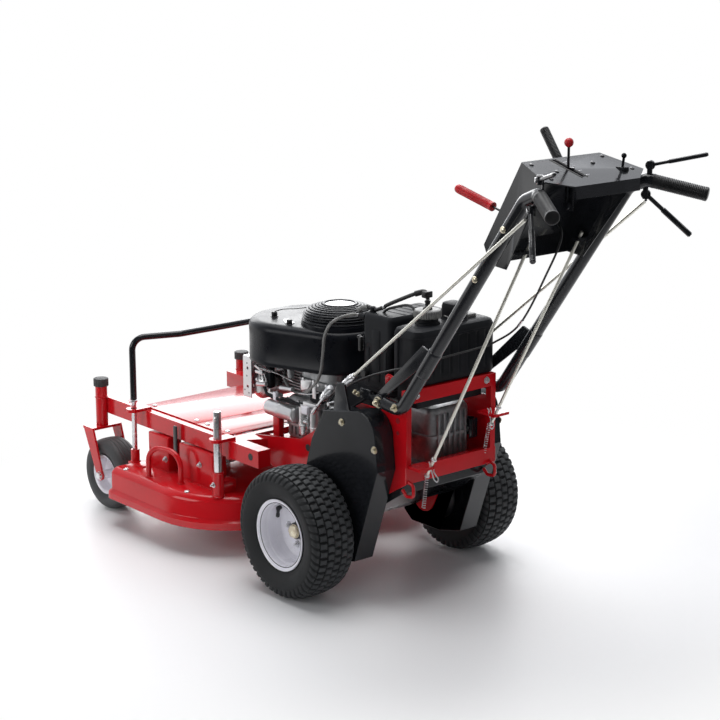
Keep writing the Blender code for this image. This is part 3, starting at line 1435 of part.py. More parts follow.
def ignition_lead():
    """From the air box's boot, down past the housing's rear corner and forward to the plug."""
    x, y, z = LEAD_BOOT
    route = [
        (x, y + GAP, z),
        (x, y + 0.004, z),
        (x, y + 0.008, z),
        (x - 0.008, y + 0.019, z),
        (-0.115, 0.029, 0.674),
        (-0.125, 0.055, 0.6536),
        (-0.128, 0.0735, 0.6185),
        (-0.128, 0.0795, 0.574),
        (-0.128, 0.091, 0.521),
        (-0.127, 0.123, 0.480),
        (-0.120, 0.172, 0.452),
        (-0.108, 0.234, 0.449),
        (-0.090, 0.285, 0.464),
        (-0.070, 0.305, 0.478),
    ]
    piece(pipe(smooth_run(route, 0.018), LEAD_R, 2), "ignition_lead", GRIP)


def fuel_hose():
    """Vent hose from the elbow on the air box over to the cap's nipple."""
    x, y = HOSE_ELBOW
    route = [
        (x, y - 0.0084, AIR_BOX_TOP + 0.0078),
        (x, y - 0.0124, AIR_BOX_TOP + 0.0078),
        (x, y - 0.0164, AIR_BOX_TOP + 0.0082),
        (x + 0.002, y - 0.030, AIR_BOX_TOP + 0.014),
        (-0.062, -0.099, 0.7234),
        (-0.050, -0.135, 0.7415),
        (-0.038, -0.163, 0.7550),
        (NECK_X - 0.004, NECK_Y + 0.011, 0.7605),
        (NECK_X, NECK_Y, NIPPLE_TOP + 0.0120),
        (NECK_X, NECK_Y, NIPPLE_TOP + 0.0080),
        (NECK_X, NECK_Y, NIPPLE_TOP + 0.0040),
        (NECK_X, NECK_Y, NIPPLE_TOP + GAP),
    ]
    piece(pipe(smooth_run(route, 0.010), HOSE_R, 2), "fuel_hose", GRIP)


def set_over_origin():
    """Moves the layout so that the finished pieces stand on the origin, centred by their bounding box."""
    bpy.context.view_layer.update()
    graph = bpy.context.evaluated_depsgraph_get()
    corners = []
    for obj in MOWER.objects:
        if obj.type == "MESH":
            done = obj.evaluated_get(graph)
            corners += [done.matrix_world @ Vector(corner) for corner in done.bound_box]
    spread = np.array(corners)
    low, high = spread.min(axis=0), spread.max(axis=0)
    middle = (low + high) / 2
    ROOT.location = (-middle[0], -middle[1], -low[2])


def build():
    for name, side in SIDES:
        rear_tyre(f"rear_tyre_{name}", side)
        rear_rim(f"rear_rim_{name}", side)
        rear_hub(f"rear_hub_{name}", side)
        caster_tyre(f"caster_tyre_{name}", side)
        caster_rim(f"caster_rim_{name}", side)
        caster_fork(f"caster_fork_{name}", side)
        side_cover(f"side_cover_{name}", side)
        rear_pin(f"rear_height_pin_{name}", side)
        handle_tube(f"handle_tube_{name}", side)
        grip(f"handle_grip_{name}", side)
        presence_lever(f"presence_lever_{name}", side)
        drive_lever(f"drive_lever_{name}", side)
        control_rod(f"drive_rod_{name}", side * ROD_X, DRIVE_ROD_LOW, DRIVE_ROD_TOP)
    rear_axle()
    carrier_frame()
    cover_plate()
    rear_frame()
    gearbox()
    drive_shaft()
    lower_guard()
    deck_shell()
    chute()
    lift_loop()
    lift_bar()
    spindle("spindle_left", BLADE_L)
    spindle("spindle_right", BLADE_RT)
    blade("blade_left", BLADE_L, math.radians(20))
    blade("blade_right", BLADE_RT, math.radians(20))
    crankcase()
    blower_housing()
    recoil_cover()
    crankshaft()
    muffler()
    muffler_guard()
    oil_filter()
    air_box()
    fuel_tank()
    fuel_cap()
    console()
    hand_lever("blade_lever", BLADE_PIVOT, BLADE_LEVER_TIP, BLADE_LEVER_GRIP, GRIP)
    hand_lever("brake_lever", BRAKE_PIVOT, BRAKE_LEVER_TIP, BRAKE_LEVER_GRIP, RED_GRIP)
    shift_lever()
    control_rod("brake_rod", -CROSS_ROD_X, BRAKE_ROD_LOW, BRAKE_ROD_TOP)
    control_rod("blade_rod", CROSS_ROD_X, BLADE_ROD_LOW, BLADE_ROD_TOP)
    throttle_cable()
    ignition_lead()
    fuel_hose()
    set_over_origin()


build()
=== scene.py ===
"""Looks of the walk-behind petrol lawn mower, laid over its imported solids.

Every piece is worked out in the machine's own layout: X to its right, Y the way it drives, Z up from
the ground, X 0 and Y 0 at the rear axle's middle. `put` moves each finished piece into the shared frame.
"""

import math

import bmesh
import bpy
import numpy as np
from mathutils import Euler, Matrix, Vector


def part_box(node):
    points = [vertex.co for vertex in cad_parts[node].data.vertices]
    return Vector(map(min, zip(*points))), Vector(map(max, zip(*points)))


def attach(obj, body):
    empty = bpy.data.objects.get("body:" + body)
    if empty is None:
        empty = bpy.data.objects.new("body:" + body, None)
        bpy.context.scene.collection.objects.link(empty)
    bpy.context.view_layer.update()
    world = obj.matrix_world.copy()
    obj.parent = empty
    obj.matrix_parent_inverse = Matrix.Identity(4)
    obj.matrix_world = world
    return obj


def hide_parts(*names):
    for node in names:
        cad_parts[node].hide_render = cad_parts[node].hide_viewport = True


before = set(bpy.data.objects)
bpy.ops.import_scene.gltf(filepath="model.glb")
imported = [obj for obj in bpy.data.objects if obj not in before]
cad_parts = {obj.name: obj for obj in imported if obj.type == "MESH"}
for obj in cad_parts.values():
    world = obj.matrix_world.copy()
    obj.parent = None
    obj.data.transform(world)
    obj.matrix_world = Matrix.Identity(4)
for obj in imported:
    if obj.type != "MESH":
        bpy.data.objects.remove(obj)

# Sizes shared by several pieces, in metres
TYRE_R = 0.165
WHEEL_X = 0.2805
CASTER_R = 0.1016
CASTER_X = 0.247
CASTER_Y = 0.926
CASTER_AXLE_Y = 0.872
CASTER_HALF = 0.038
CAP_LOW = 0.3443
RAIL_INNER = 0.198
RAIL_OUTER = 0.236
RAIL_TOP = 0.312
COVER_TOP = 0.3153
SIDE_PLATE_X = 0.1472
PIN_LEFT_X = -0.260
PIN_RIGHT_X = 0.345
PIN_FRONT_Y = 0.741
PIN_REAR_Y = 0.352
DECK_TOP = 0.165
BLADE_LEFT = (-0.118, 0.5415)
BLADE_RIGHT = (0.269, 0.3985)
ENGINE_Y = 0.167
SHAFT_Y = -0.118
SHAFT_Z = 0.400
HOUSING_HALF_X = 0.155
HOUSING_CORNER = 0.135
HOUSING_FRONT = 0.440
HOUSING_REAR_R = 0.110
HOUSING_LOW = 0.508
HOUSING_TOP = 0.6195
RECOIL_SEAT = 0.630
MUFFLER_Y = 0.3750
MUFFLER_Z = 0.430
GUARD_FRONT = 0.4235
FILTER = (-0.1285, 0.185, 0.394)
FILTER_SEAT_X = 0.1053
NECK = (-0.024, -0.192)
TUBE_X = 0.164
TUBE_R = 0.016
GRIP_BASE = (0.173, -0.697, 1.071)
GRIP_END = (0.247, -0.811, 1.043)
PRESENCE_PIVOT = (0.176, -0.701, 1.1035)
PRESENCE_TIP = (0.242, -0.809, 1.133)
DRIVE_PIVOT = (0.183, -0.685, 1.036)
DRIVE_TIP = (0.251, -0.761, 0.945)
ROD_X = 0.190
DRIVE_ROD_LOW = (ROD_X, -0.0735, 0.5345)
DRIVE_ROD_TOP = (ROD_X, -0.676, 1.0168)
CROSS_ROD_X = 0.100
VIEW_WAY = (0.647, 0.762)
SIDES = (("left", -1), ("right", 1))
TURN = 2 * math.pi

axle_low, axle_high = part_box("rear_axle")
SHIFT = np.array((axle_low + axle_high) / 2) - np.array([0.0, 0.0, TYRE_R])


# Shapes: each is (points, quads, capping faces), worked out whole

def unit(v):
    v = np.asarray(v, float)
    return v / np.linalg.norm(v, axis=-1, keepdims=True)


def sided(side, point):
    """A place given for the right-hand side, moved to this side."""
    return np.array([side * point[0], point[1], point[2]])


def grid(points, ring=False):
    """m rings of n points, points[i, j]: face (i, j) joins j and j + 1 of rings i and i + 1. A ring
    shape also joins the last ring to the first; any other is capped at both ends."""
    m, n = points.shape[:2]
    index = np.arange(m * n).reshape(m, n)
    low = index if ring else index[:-1]
    high = np.roll(index, -1, 0) if ring else index[1:]
    quads = np.stack([low, np.roll(low, -1, 1), np.roll(high, -1, 1), high], -1).reshape(-1, 4)
    caps = []
    if not ring:
        caps = [end for end, row in ((index[0][::-1], points[0]),
                                     (index[-1], points[-1])) if np.ptp(row) > 1e-6
                and np.abs(row - row.mean(0)).max() > 1e-6]
    return points.reshape(-1, 3), quads, caps


def filleted(points, radius, steps=6):
    """The run of straight lengths with each corner rounded: an arc of the radius round the centre on
    the corner's bisector, c + r (cos a e1 + sin a e2)."""
    points = np.asarray(points, float)
    run = [points[:1]]
    for before, corner, after in zip(points, points[1:], points[2:]):
        back, ahead = unit(before - corner), unit(after - corner)
        half = math.acos(float(np.clip(back @ ahead, -1, 1))) / 2
        if half > 1.56:
            run.append(corner[None])
            continue
        room = min(np.linalg.norm(before - corner), np.linalg.norm(after - corner)) / 2.02
        reach = min(radius / math.tan(half), room)
        r = reach * math.tan(half)
        centre = corner + unit(back + ahead) * (reach / math.cos(half))
        e1 = unit(corner + back * reach - centre)
        far = corner + ahead * reach - centre
        e2 = unit(far - e1 * (far @ e1))
        a = np.linspace(0, math.pi - 2 * half, steps + 1)[:, None]
        run.append(centre + r * (np.cos(a) * e1 + np.sin(a) * e2))
    run.append(points[-1:])
    return np.vstack(run)


def rounded(outline, radius, steps=4):
    """A closed outline with every corner rounded."""
    outline = np.asarray(outline, float)
    start = (outline[-1] + outline[0]) / 2
    return filleted(np.vstack([start[None], outline, start[None]]), radius, steps)[:-1]


def even(outline, count):
    """The closed outline marked off again in equal steps."""
    loop = np.vstack([outline, outline[:1]])
    run = np.concatenate([[0], np.cumsum(np.linalg.norm(np.diff(loop, axis=0), axis=1))])
    marks = np.linspace(0, run[-1], count + 1)[:-1]
    return np.column_stack([np.interp(marks, run, loop[:, 0]), np.interp(marks, run, loop[:, 1])])


def smooth_curve(points, count):
    """The Catmull-Rom curve through a route: p(t) = (2b + (c - a) t + (2a - 5b + 4c - d) t^2
    + (3b - a - 3c + d) t^3) / 2 between b and c."""
    route = np.asarray(points, float)
    padded = np.vstack([2 * route[0] - route[1], route, 2 * route[-1] - route[-2]])
    where = np.linspace(0, len(route) - 1, count)
    k = np.minimum(where.astype(int), len(route) - 2)
    t = (where - k)[:, None]
    a, b, c, d = padded[k], padded[k + 1], padded[k + 2], padded[k + 3]
    return (2 * b + (c - a) * t + (2 * a - 5 * b + 4 * c - d) * t**2 + (3 * b - a - 3 * c + d) * t**3) / 2


def tube(path, radius, sides=16):
    """A round bar along a path: ring i is p_i + r_i (cos a u_i + sin a v_i), u carried along the path
    without twist."""
    path = np.asarray(path, float)
    way = unit(np.gradient(path, axis=0))
    u = unit(np.cross(way[0], [0.3, 0.2, 0.93]))
    across = []
    for w in way:
        u = unit(u - w * (u @ w))
        across.append(u)
    across = np.array(across)
    other = np.cross(way, across)
    a = np.arange(sides) * TURN / sides
    r = np.broadcast_to(np.asarray(radius, float), (len(path),))[:, None, None]
    circle = np.cos(a)[None, :, None] * across[:, None] + np.sin(a)[None, :, None] * other[:, None]
    return grid(path[:, None] + r * circle)


def bar(start, end, radius, sides=16, ease=0.0006):
    """A straight round bar whose two end edges are eased."""
    start, end = np.asarray(start, float), np.asarray(end, float)
    length = np.linalg.norm(end - start)
    return lathe([(0, 0), (radius - ease, 0), (radius, ease), (radius, length - ease),
                  (radius - ease, length), (0, length)], start, end - start, sides)


def lathe(profile, centre, axis=(0, 0, 1), steps=48, ring=False, wave=None):
    """A profile of (radius, height) turned about its axis: p = c + h k + r (cos a u + sin a v), where a
    wave adds its own height to r at each angle."""
    k = unit(axis)
    helper = np.array([0.0, 0.0, 1.0]) if abs(k[2]) < 0.9 else np.array([1.0, 0.0, 0.0])
    u = unit(np.cross(helper, k))
    v = np.cross(k, u)
    profile = np.asarray(profile, float)
    a = np.arange(steps) * TURN / steps
    r = profile[:, :1] + (0 if wave is None else wave(profile, a))
    around = np.cos(a)[:, None] * u + np.sin(a)[:, None] * v
    points = np.asarray(centre, float) + profile[:, 1][:, None, None] * k + r[..., None] * around[None]
    return grid(points, ring)


def inset(outline, amount):
    """The anticlockwise outline moved inwards: each corner along the mean of its two normals, by
    amount / cos(half the turn)."""
    into = unit(outline - np.roll(outline, 1, 0))
    out = unit(np.roll(outline, -1, 0) - outline)
    across = unit(np.column_stack([-into[:, 1] - out[:, 1], into[:, 0] + out[:, 0]]))
    lean = np.maximum(0.35, across[:, 0] * -out[:, 1] + across[:, 1] * out[:, 0])
    return outline + across * (amount / lean)[:, None]


COLUMNS = {"Z": [0, 1, 2], "X": [2, 0, 1], "Y": [0, 2, 1]}


def loft(outline, levels, normal="Z"):
    """One outline carried through levels of (inset, height) along its normal."""
    outline = np.asarray(outline, float)
    rings = []
    for amount, height in levels:
        rings.append(np.column_stack([inset(outline, amount), np.full(len(outline), height)]))
    return grid(np.stack(rings)[..., COLUMNS[normal]])


def slab(outline, low, high, normal="Z", edge=0.0008):
    """A flat outline made solid, with its two rims eased."""
    soft = edge * 0.3
    return loft(outline, [(edge, low), (soft, low + soft), (0, low + edge), (0, high - edge),
                          (soft, high - soft), (edge, high)], normal)


def rectangle(low, high, corner, steps=5):
    (x0, y0), (x1, y1) = low, high
    return rounded([(x0, y0), (x1, y0), (x1, y1), (x0, y1)], corner, steps)


def box(low, high, edge=0.0012, normal="Z", corner=None):
    """A block with eased edges, built along its normal."""
    low, high = np.minimum(low, high), np.maximum(low, high)
    pair = {"Z": (0, 1, 2), "X": (1, 2, 0), "Y": (0, 2, 1)}[normal]
    outline = rectangle(low[[pair[0], pair[1]]], high[[pair[0], pair[1]]], corner or edge * 1.3, 3)
    return slab(outline, low[pair[2]], high[pair[2]], normal, edge)


def ball(centre, radius, steps=32):
    """x = r sin b cos a, y = r sin b sin a, z = -r cos b."""
    b = np.linspace(0, math.pi, steps // 2 + 1)
    return lathe(np.column_stack([radius * np.sin(b), -radius * np.cos(b)]), centre, (0, 0, 1), steps)


def hexagon(at, way, radius, height):
    """A six-sided head or nut with its corners turned off."""
    return lathe([(0, height), (radius * 0.62, height), (radius * 0.87, height * 0.98),
                  (radius, height * 0.84), (radius, height * 0.12), (radius * 0.93, 0), (0, 0)], at, way, 6)


def washer(at, way, radius, thickness=0.0016):
    return lathe([(0, thickness), (radius - 0.0004, thickness), (radius, thickness - 0.0004), (radius, 0),
                  (0, 0)], at, way, 28)


def bolt(at, way, radius=0.0065, thread=0.004):
    """Washer, nut and the thread's ridged end."""
    at, way = np.asarray(at, float), unit(way)
    turns = np.linspace(0, thread, 13)
    profile = np.column_stack([radius * (0.50 + 0.03 * np.cos(turns / 0.0012 * TURN)), turns])
    tip = [(radius * 0.38, thread + 0.0006), (0, thread + 0.0006)]
    end = lathe(np.vstack([profile, tip]), at + way * radius * 0.9, way, 16)
    return [washer(at, way, radius * 1.45), hexagon(at + way * 0.0014, way, radius, radius * 0.85), end]


def dome_head(at, way, radius=0.0085):
    """A carriage bolt's head: h = 0.45 r sqrt(1 - (x / r)^2) + 0.6 mm."""
    x = np.linspace(1, 0, 9)
    return lathe(np.vstack([[(0, -0.0004), (radius, -0.0004)],
                            np.column_stack([radius * x, 0.45 * radius * np.sqrt(1 - x**2) + 0.0006])]), at,
                 way, 28)


def bead(start, end, radius=0.0022):
    """A weld bead: a bar whose radius ripples as r (1 + 0.16 sin(2 pi s / 3 mm)), thinned to its ends."""
    start, end = np.asarray(start, float), np.asarray(end, float)
    length = np.linalg.norm(end - start)
    count = max(10, int(length / 0.0009))
    s = np.linspace(0, 1, count)
    swell = np.clip(np.minimum(s, 1 - s) * length / 0.003, 0.25, 1)
    return tube(start + s[:, None] * (end - start),
                radius * swell * (1 + 0.16 * np.sin(s * length / 0.003 * TURN)), 8)


def ring_bead(centre, axis, radius, thick=0.0022):
    """A weld bead round a bar."""
    a = np.arange(12) * TURN / 12
    profile = np.column_stack([radius + thick * 0.6 * np.cos(a), thick * 0.8 * np.sin(a)])
    return lathe(profile, centre, axis, 60, ring=True, wave=lambda p, t: 0.0003 * np.sin(22 * t)[None, :])


def hairpin(at, out, up, size=1.0):
    """A spring-wire hairpin clip: straight leg through the pin, round eye, waved outer leg."""
    at, out, up = np.asarray(at, float), unit(out), unit(up)
    flat = np.array([(-0.012, 0), (0.020, 0), (0.030, 0.001), (0.036, 0.007), (0.030, 0.0125),
                     (0.022, 0.009), (0.012, 0.0055), (0.004, 0.0085), (-0.006, 0.0055),
                     (-0.012, 0.009)]) * size
    run = smooth_curve(flat, 70)
    return tube(at + run[:, :1] * out + run[:, 1:] * up, 0.0013 * size, 8)


# Finishes

def add(tree, kind, links=(), **values):
    node = tree.nodes.new(kind)
    for key, value in values.items():
        setattr(node, key, value)
    for socket, value in links:
        if isinstance(value, bpy.types.NodeSocket):
            tree.links.new(value, node.inputs[socket])
        else:
            node.inputs[socket].default_value = value
    return node


def noise(tree, where, scale, detail=5.0, rough=0.55, lean=0.0):
    return add(tree, "ShaderNodeTexNoise", [("Vector", where), ("Scale", scale), ("Detail", detail),
                                            ("Roughness", rough), ("Distortion", lean)]).outputs["Fac"]


def spread(tree, value, low, high, to_low, to_high):
    return add(tree, "ShaderNodeMapRange", [("Value", value), ("From Min", low), ("From Max", high),
                                            ("To Min", to_low), ("To Max", to_high)]).outputs["Result"]


def mixed(tree, share, one, two):
    node = add(tree, "ShaderNodeMix", data_type="RGBA")
    for socket, value in ((0, share), (6, one), (7, two)):
        if isinstance(value, bpy.types.NodeSocket):
            tree.links.new(value, node.inputs[socket])
        else:
            node.inputs[socket].default_value = value if socket == 0 else (*value, 1.0)
    return node.outputs[2]


def times(tree, one, two):
    node = add(tree, "ShaderNodeMath", [(0, one), (1, two)], operation="MULTIPLY")
    return node.outputs[0]


def finish(name, colour, shade, rough, metal=0.0, patch=6.0, grain=260.0, peel=0.00006, dust=0.12,
           dust_colour=(0.5, 0.48, 0.45), streak=None, coat=0.0, worn=None, specular=0.5):
    """One surface: two tones in slow patches, fine grain as bump, roughness that wanders, scuffs along
    a direction, and dust that gathers on what faces up."""
    made = bpy.data.materials.new(name)
    made.use_nodes = True
    tree = made.node_tree
    shader = tree.nodes["Principled BSDF"]
    where = add(tree, "ShaderNodeTexCoord").outputs["Object"]
    slow = noise(tree, where, patch, 6.0, 0.6, 0.3)
    fine = noise(tree, where, grain, 3.0, 0.5)
    tone = mixed(tree, spread(tree, slow, 0.38, 0.66, 0.0, 1.0), colour, shade)
    scuff_space = add(tree, "ShaderNodeMapping", [("Vector", where),
                                                  ("Scale", streak or (1.0, 1.0, 1.0))]).outputs["Vector"]
    scuff = noise(tree, scuff_space, 42.0, 8.0, 0.75, 0.1)
    scuffed = spread(tree, scuff, 0.56, 0.76, 0.0, 1.0)
    outward = add(tree, "ShaderNodeNewGeometry").outputs["Normal"]
    facing = add(tree, "ShaderNodeSeparateXYZ", [("Vector", outward)]).outputs["Z"]
    settled = times(tree, spread(tree, facing, 0.35, 1.0, 0.25, 1.0),
                    spread(tree, noise(tree, where, 17.0, 9.0, 0.7), 0.42, 0.72, 0.0, dust))
    tone = mixed(tree, settled, tone, dust_colour)
    if worn is not None:
        mark = add(tree, "ShaderNodeAttribute", attribute_name="worn").outputs["Fac"]
        tone = mixed(tree, times(tree, mark, spread(tree, scuff, 0.35, 0.6, 0.55, 1.0)), tone, worn)
    tree.links.new(tone, shader.inputs["Base Color"])
    shader.inputs["Metallic"].default_value = metal
    shader.inputs["Specular IOR Level"].default_value = specular
    shader.inputs["Coat Weight"].default_value = coat
    shader.inputs["Coat Roughness"].default_value = 0.06
    wander = add(tree, "ShaderNodeMath", [(0, spread(tree, slow, 0.3, 0.7, rough * 0.8, rough * 1.25)),
                                          (1, times(tree, scuffed, 0.12))], operation="ADD").outputs[0]
    wander = add(tree, "ShaderNodeMath", [(0, wander), (1, settled)], operation="ADD",
                 use_clamp=True).outputs[0]
    tree.links.new(wander, shader.inputs["Roughness"])
    bumped = add(tree, "ShaderNodeMath", [(0, fine), (1, times(tree, scuff, 0.6))],
                 operation="ADD").outputs[0]
    bump = add(tree, "ShaderNodeBump", [("Height", bumped), ("Strength", 0.55), ("Distance", peel)])
    tree.links.new(bump.outputs["Normal"], shader.inputs["Normal"])
    return made


RED = finish("red_gloss_paint", (0.60, 0.006, 0.012), (0.50, 0.004, 0.009), 0.17, patch=5,
             grain=170, peel=0.00010, dust=0.05, dust_colour=(0.60, 0.16, 0.16), coat=0.25, specular=0.4)
# A darker red used only for the flat discs in the side plates' holes: painted shade inside the holes.
HOLE_SHADE_RED = finish("red_painted_hole_shade", (0.36, 0.006, 0.010), (0.22, 0.004, 0.008),
                  0.35, patch=40, grain=400, peel=0.0002)
BLACK = finish("black_satin_paint", (0.009, 0.010, 0.012), (0.015, 0.016, 0.019), 0.17,
               patch=8, grain=420, peel=0.00005, dust=0.03, dust_colour=(0.12, 0.12, 0.13), specular=0.35,
               coat=0.30)
PLASTIC = finish("black_moulded_plastic", (0.007, 0.008, 0.010), (0.012, 0.013, 0.016),
                 0.50, patch=11, grain=900, peel=0.00010, dust=0.03, dust_colour=(0.10, 0.10, 0.11),
                 specular=0.17)
HOUSING = finish("black_engine_housing", (0.006, 0.007, 0.010), (0.010, 0.011, 0.014),
                 0.30, patch=9, grain=700, peel=0.00006, dust=0.03, dust_colour=(0.10, 0.10, 0.11),
                 specular=0.22)
WHITE = finish("white_rim_enamel", (0.86, 0.85, 0.91), (0.79, 0.78, 0.84), 0.24,
               patch=14, grain=300, peel=0.00006, dust=0.10, dust_colour=(0.55, 0.54, 0.52), coat=0.3)
RUBBER = finish("tyre_rubber_with_dusty_tread", (0.010, 0.011, 0.012), (0.017, 0.018, 0.019),
                0.58, patch=16, grain=650, peel=0.00016, dust=0.04, dust_colour=(0.08, 0.08, 0.08),
                worn=(0.060, 0.063, 0.066), specular=0.28)
CASTER_RUBBER = finish("caster_rubber", (0.035, 0.036, 0.038), (0.055, 0.056, 0.058), 0.55,
                       patch=20, grain=600, peel=0.00014, dust=0.10, dust_colour=(0.20, 0.20, 0.19))
GRIP = finish("black_grip_rubber", (0.010, 0.010, 0.011), (0.017, 0.017, 0.018), 0.36,
              patch=24, grain=700, peel=0.00008, dust=0.03, dust_colour=(0.1, 0.1, 0.1))
RED_GRIP = finish("red_grip_sleeve", (0.55, 0.012, 0.018), (0.44, 0.009, 0.014), 0.34,
                  patch=24, grain=600, peel=0.00006, dust=0.03)
GREYED = finish("greyed_cap_plastic", (0.20, 0.20, 0.19), (0.13, 0.13, 0.13), 0.40,
                patch=26, grain=500, peel=0.00010, dust=0.10, dust_colour=(0.34, 0.33, 0.31))
ZINC = finish("yellow_zinc_plate", (0.84, 0.82, 0.73), (0.76, 0.75, 0.68), 0.30, 0.80,
              patch=9, grain=500, peel=0.00001, dust=0.04)
WHITE_ZINC = finish("white_zinc_plate", (0.82, 0.82, 0.83), (0.70, 0.71, 0.73), 0.26, 0.90,
                    patch=12, grain=520, peel=0.00002, dust=0.05)
BRASS = finish("brassy_zinc_nut", (0.80, 0.74, 0.58), (0.66, 0.58, 0.42), 0.28, 0.90,
               patch=60, grain=500, peel=0.00005, dust=0.04)
STEEL = finish("bright_steel", (0.62, 0.62, 0.62), (0.44, 0.44, 0.45), 0.27, 1.0, patch=18,
               grain=420, peel=0.00005, streak=(1, 9, 1), dust=0.08)
GUARD = finish("bright_sheet_steel", (0.84, 0.84, 0.85), (0.74, 0.74, 0.75), 0.30, 0.9,
               patch=9, grain=380, peel=0.00004, streak=(9, 1, 1), dust=0.08)
ALLOY = finish("cast_aluminium", (0.56, 0.57, 0.58), (0.36, 0.37, 0.38), 0.42, 0.9,
               patch=32, grain=260, peel=0.00028, dust=0.20, dust_colour=(0.16, 0.15, 0.14))
DARK_STEEL = finish("oiled_dark_steel", (0.06, 0.06, 0.062), (0.10, 0.095, 0.09), 0.40, 0.8,
                    patch=40, grain=400, peel=0.0001, dust=0.15, dust_colour=(0.12, 0.11, 0.10))
BLADE = finish("blade_steel", (0.09, 0.09, 0.10), (0.16, 0.15, 0.15), 0.42, 0.8, patch=20,
               grain=300, peel=0.0001, streak=(1, 7, 1), dust=0.10, dust_colour=(0.12, 0.14, 0.07))


# Pieces of the machine

def put(name, body, look, shapes, replaces=(), crease=32, attribute=None):
    """Makes one object of these shapes, in the shared frame, riding its body."""
    points, faces, base = [], [], 0
    for spots, quads, caps in shapes:
        points.append(spots)
        faces += (quads + base).tolist()
        faces += [(cap + base).tolist() for cap in caps]
        base += len(spots)
    mesh = bpy.data.meshes.new(name)
    mesh.from_pydata((np.vstack(points) + SHIFT).tolist(), [], faces)
    if attribute is not None:
        mesh.attributes.new("worn", "FLOAT", "POINT").data.foreach_set("value", attribute.astype(np.float32))
    bm = bmesh.new()
    bm.from_mesh(mesh)
    bmesh.ops.remove_doubles(bm, verts=bm.verts, dist=0.000002)
    bmesh.ops.recalc_face_normals(bm, faces=bm.faces)
    bm.to_mesh(mesh)
    bm.free()
    return settle(bpy.data.objects.new(name, mesh), body, look, replaces, crease)


def settle(obj, body, look, replaces, crease):
    obj.data.materials.clear()
    obj.data.materials.append(look)
    obj.data.shade_smooth()
    obj.data.set_sharp_from_angle(angle=math.radians(crease))
    bpy.context.scene.collection.objects.link(obj)
    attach(obj, body)
    if replaces:
        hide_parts(*replaces)
    return obj


def eased(node, body, look, width=0.0010, crease=30):
    """A folded or welded steel piece: the solid's faces made whole again, and its edges rounded as paint
    and the press leave them."""
    bm = bmesh.new()
    bm.from_mesh(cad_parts[node].data)
    bmesh.ops.remove_doubles(bm, verts=bm.verts, dist=0.00002)
    bmesh.ops.dissolve_limit(bm, angle_limit=math.radians(1.5), verts=bm.verts, edges=bm.edges)
    bmesh.ops.recalc_face_normals(bm, faces=bm.faces)
    mesh = bpy.data.meshes.new(node + "_skin")
    bm.to_mesh(mesh)
    bm.free()
    obj = settle(bpy.data.objects.new(node + "_skin", mesh), body, look, [node], crease)
    edge = obj.modifiers.new("edges", "BEVEL")
    edge.width = width
    edge.segments = 2
    edge.limit_method = "ANGLE"
    edge.angle_limit = math.radians(crease)
    edge.use_clamp_overlap = True
    return obj


# Rear wheels

def tread(angle, across):
    """How far down the groove is, 0 on a block and 1 in a groove. Rows 20.5 mm apart step half a pitch
    from each other. Middle and edge rows are bow ties, 0.27 + 0.12 v^2 of the pitch each way; the two
    between are arches, 0.335 of the pitch shifted by 0.17 (v^2 - 0.4)."""
    row = np.round(across / 0.0205)
    v = (across - row * 0.0205) / 0.01025
    turn = angle * 50 / TURN + 0.5 * np.abs(row)
    arch = np.abs(row) % 2
    u = turn - np.floor(turn) - 0.5 - arch * 0.17 * (v**2 - 0.4)
    u = u - np.round(u)
    reach = np.where(arch > 0, 0.335, 0.27 + 0.12 * v**2)
    ends = np.clip((np.abs(u) - reach) / 0.07, 0, 1)
    edges = np.clip((np.abs(v) - 0.80) / 0.14, 0, 1)
    return np.maximum(ends, edges)


def shoulder_lug(angle, radius):
    """Short lugs that run from the tread's edge down on to the sidewall, leaning with the radius."""
    turn = angle * 50 / TURN + (TYRE_R - radius) * 26
    u = turn - np.floor(turn) - 0.5
    ends = np.clip((np.abs(u) - 0.27) / 0.09, 0, 1)
    fade = np.clip((radius - 0.134) / 0.008, 0, 1)
    return 1 - (1 - ends) * fade


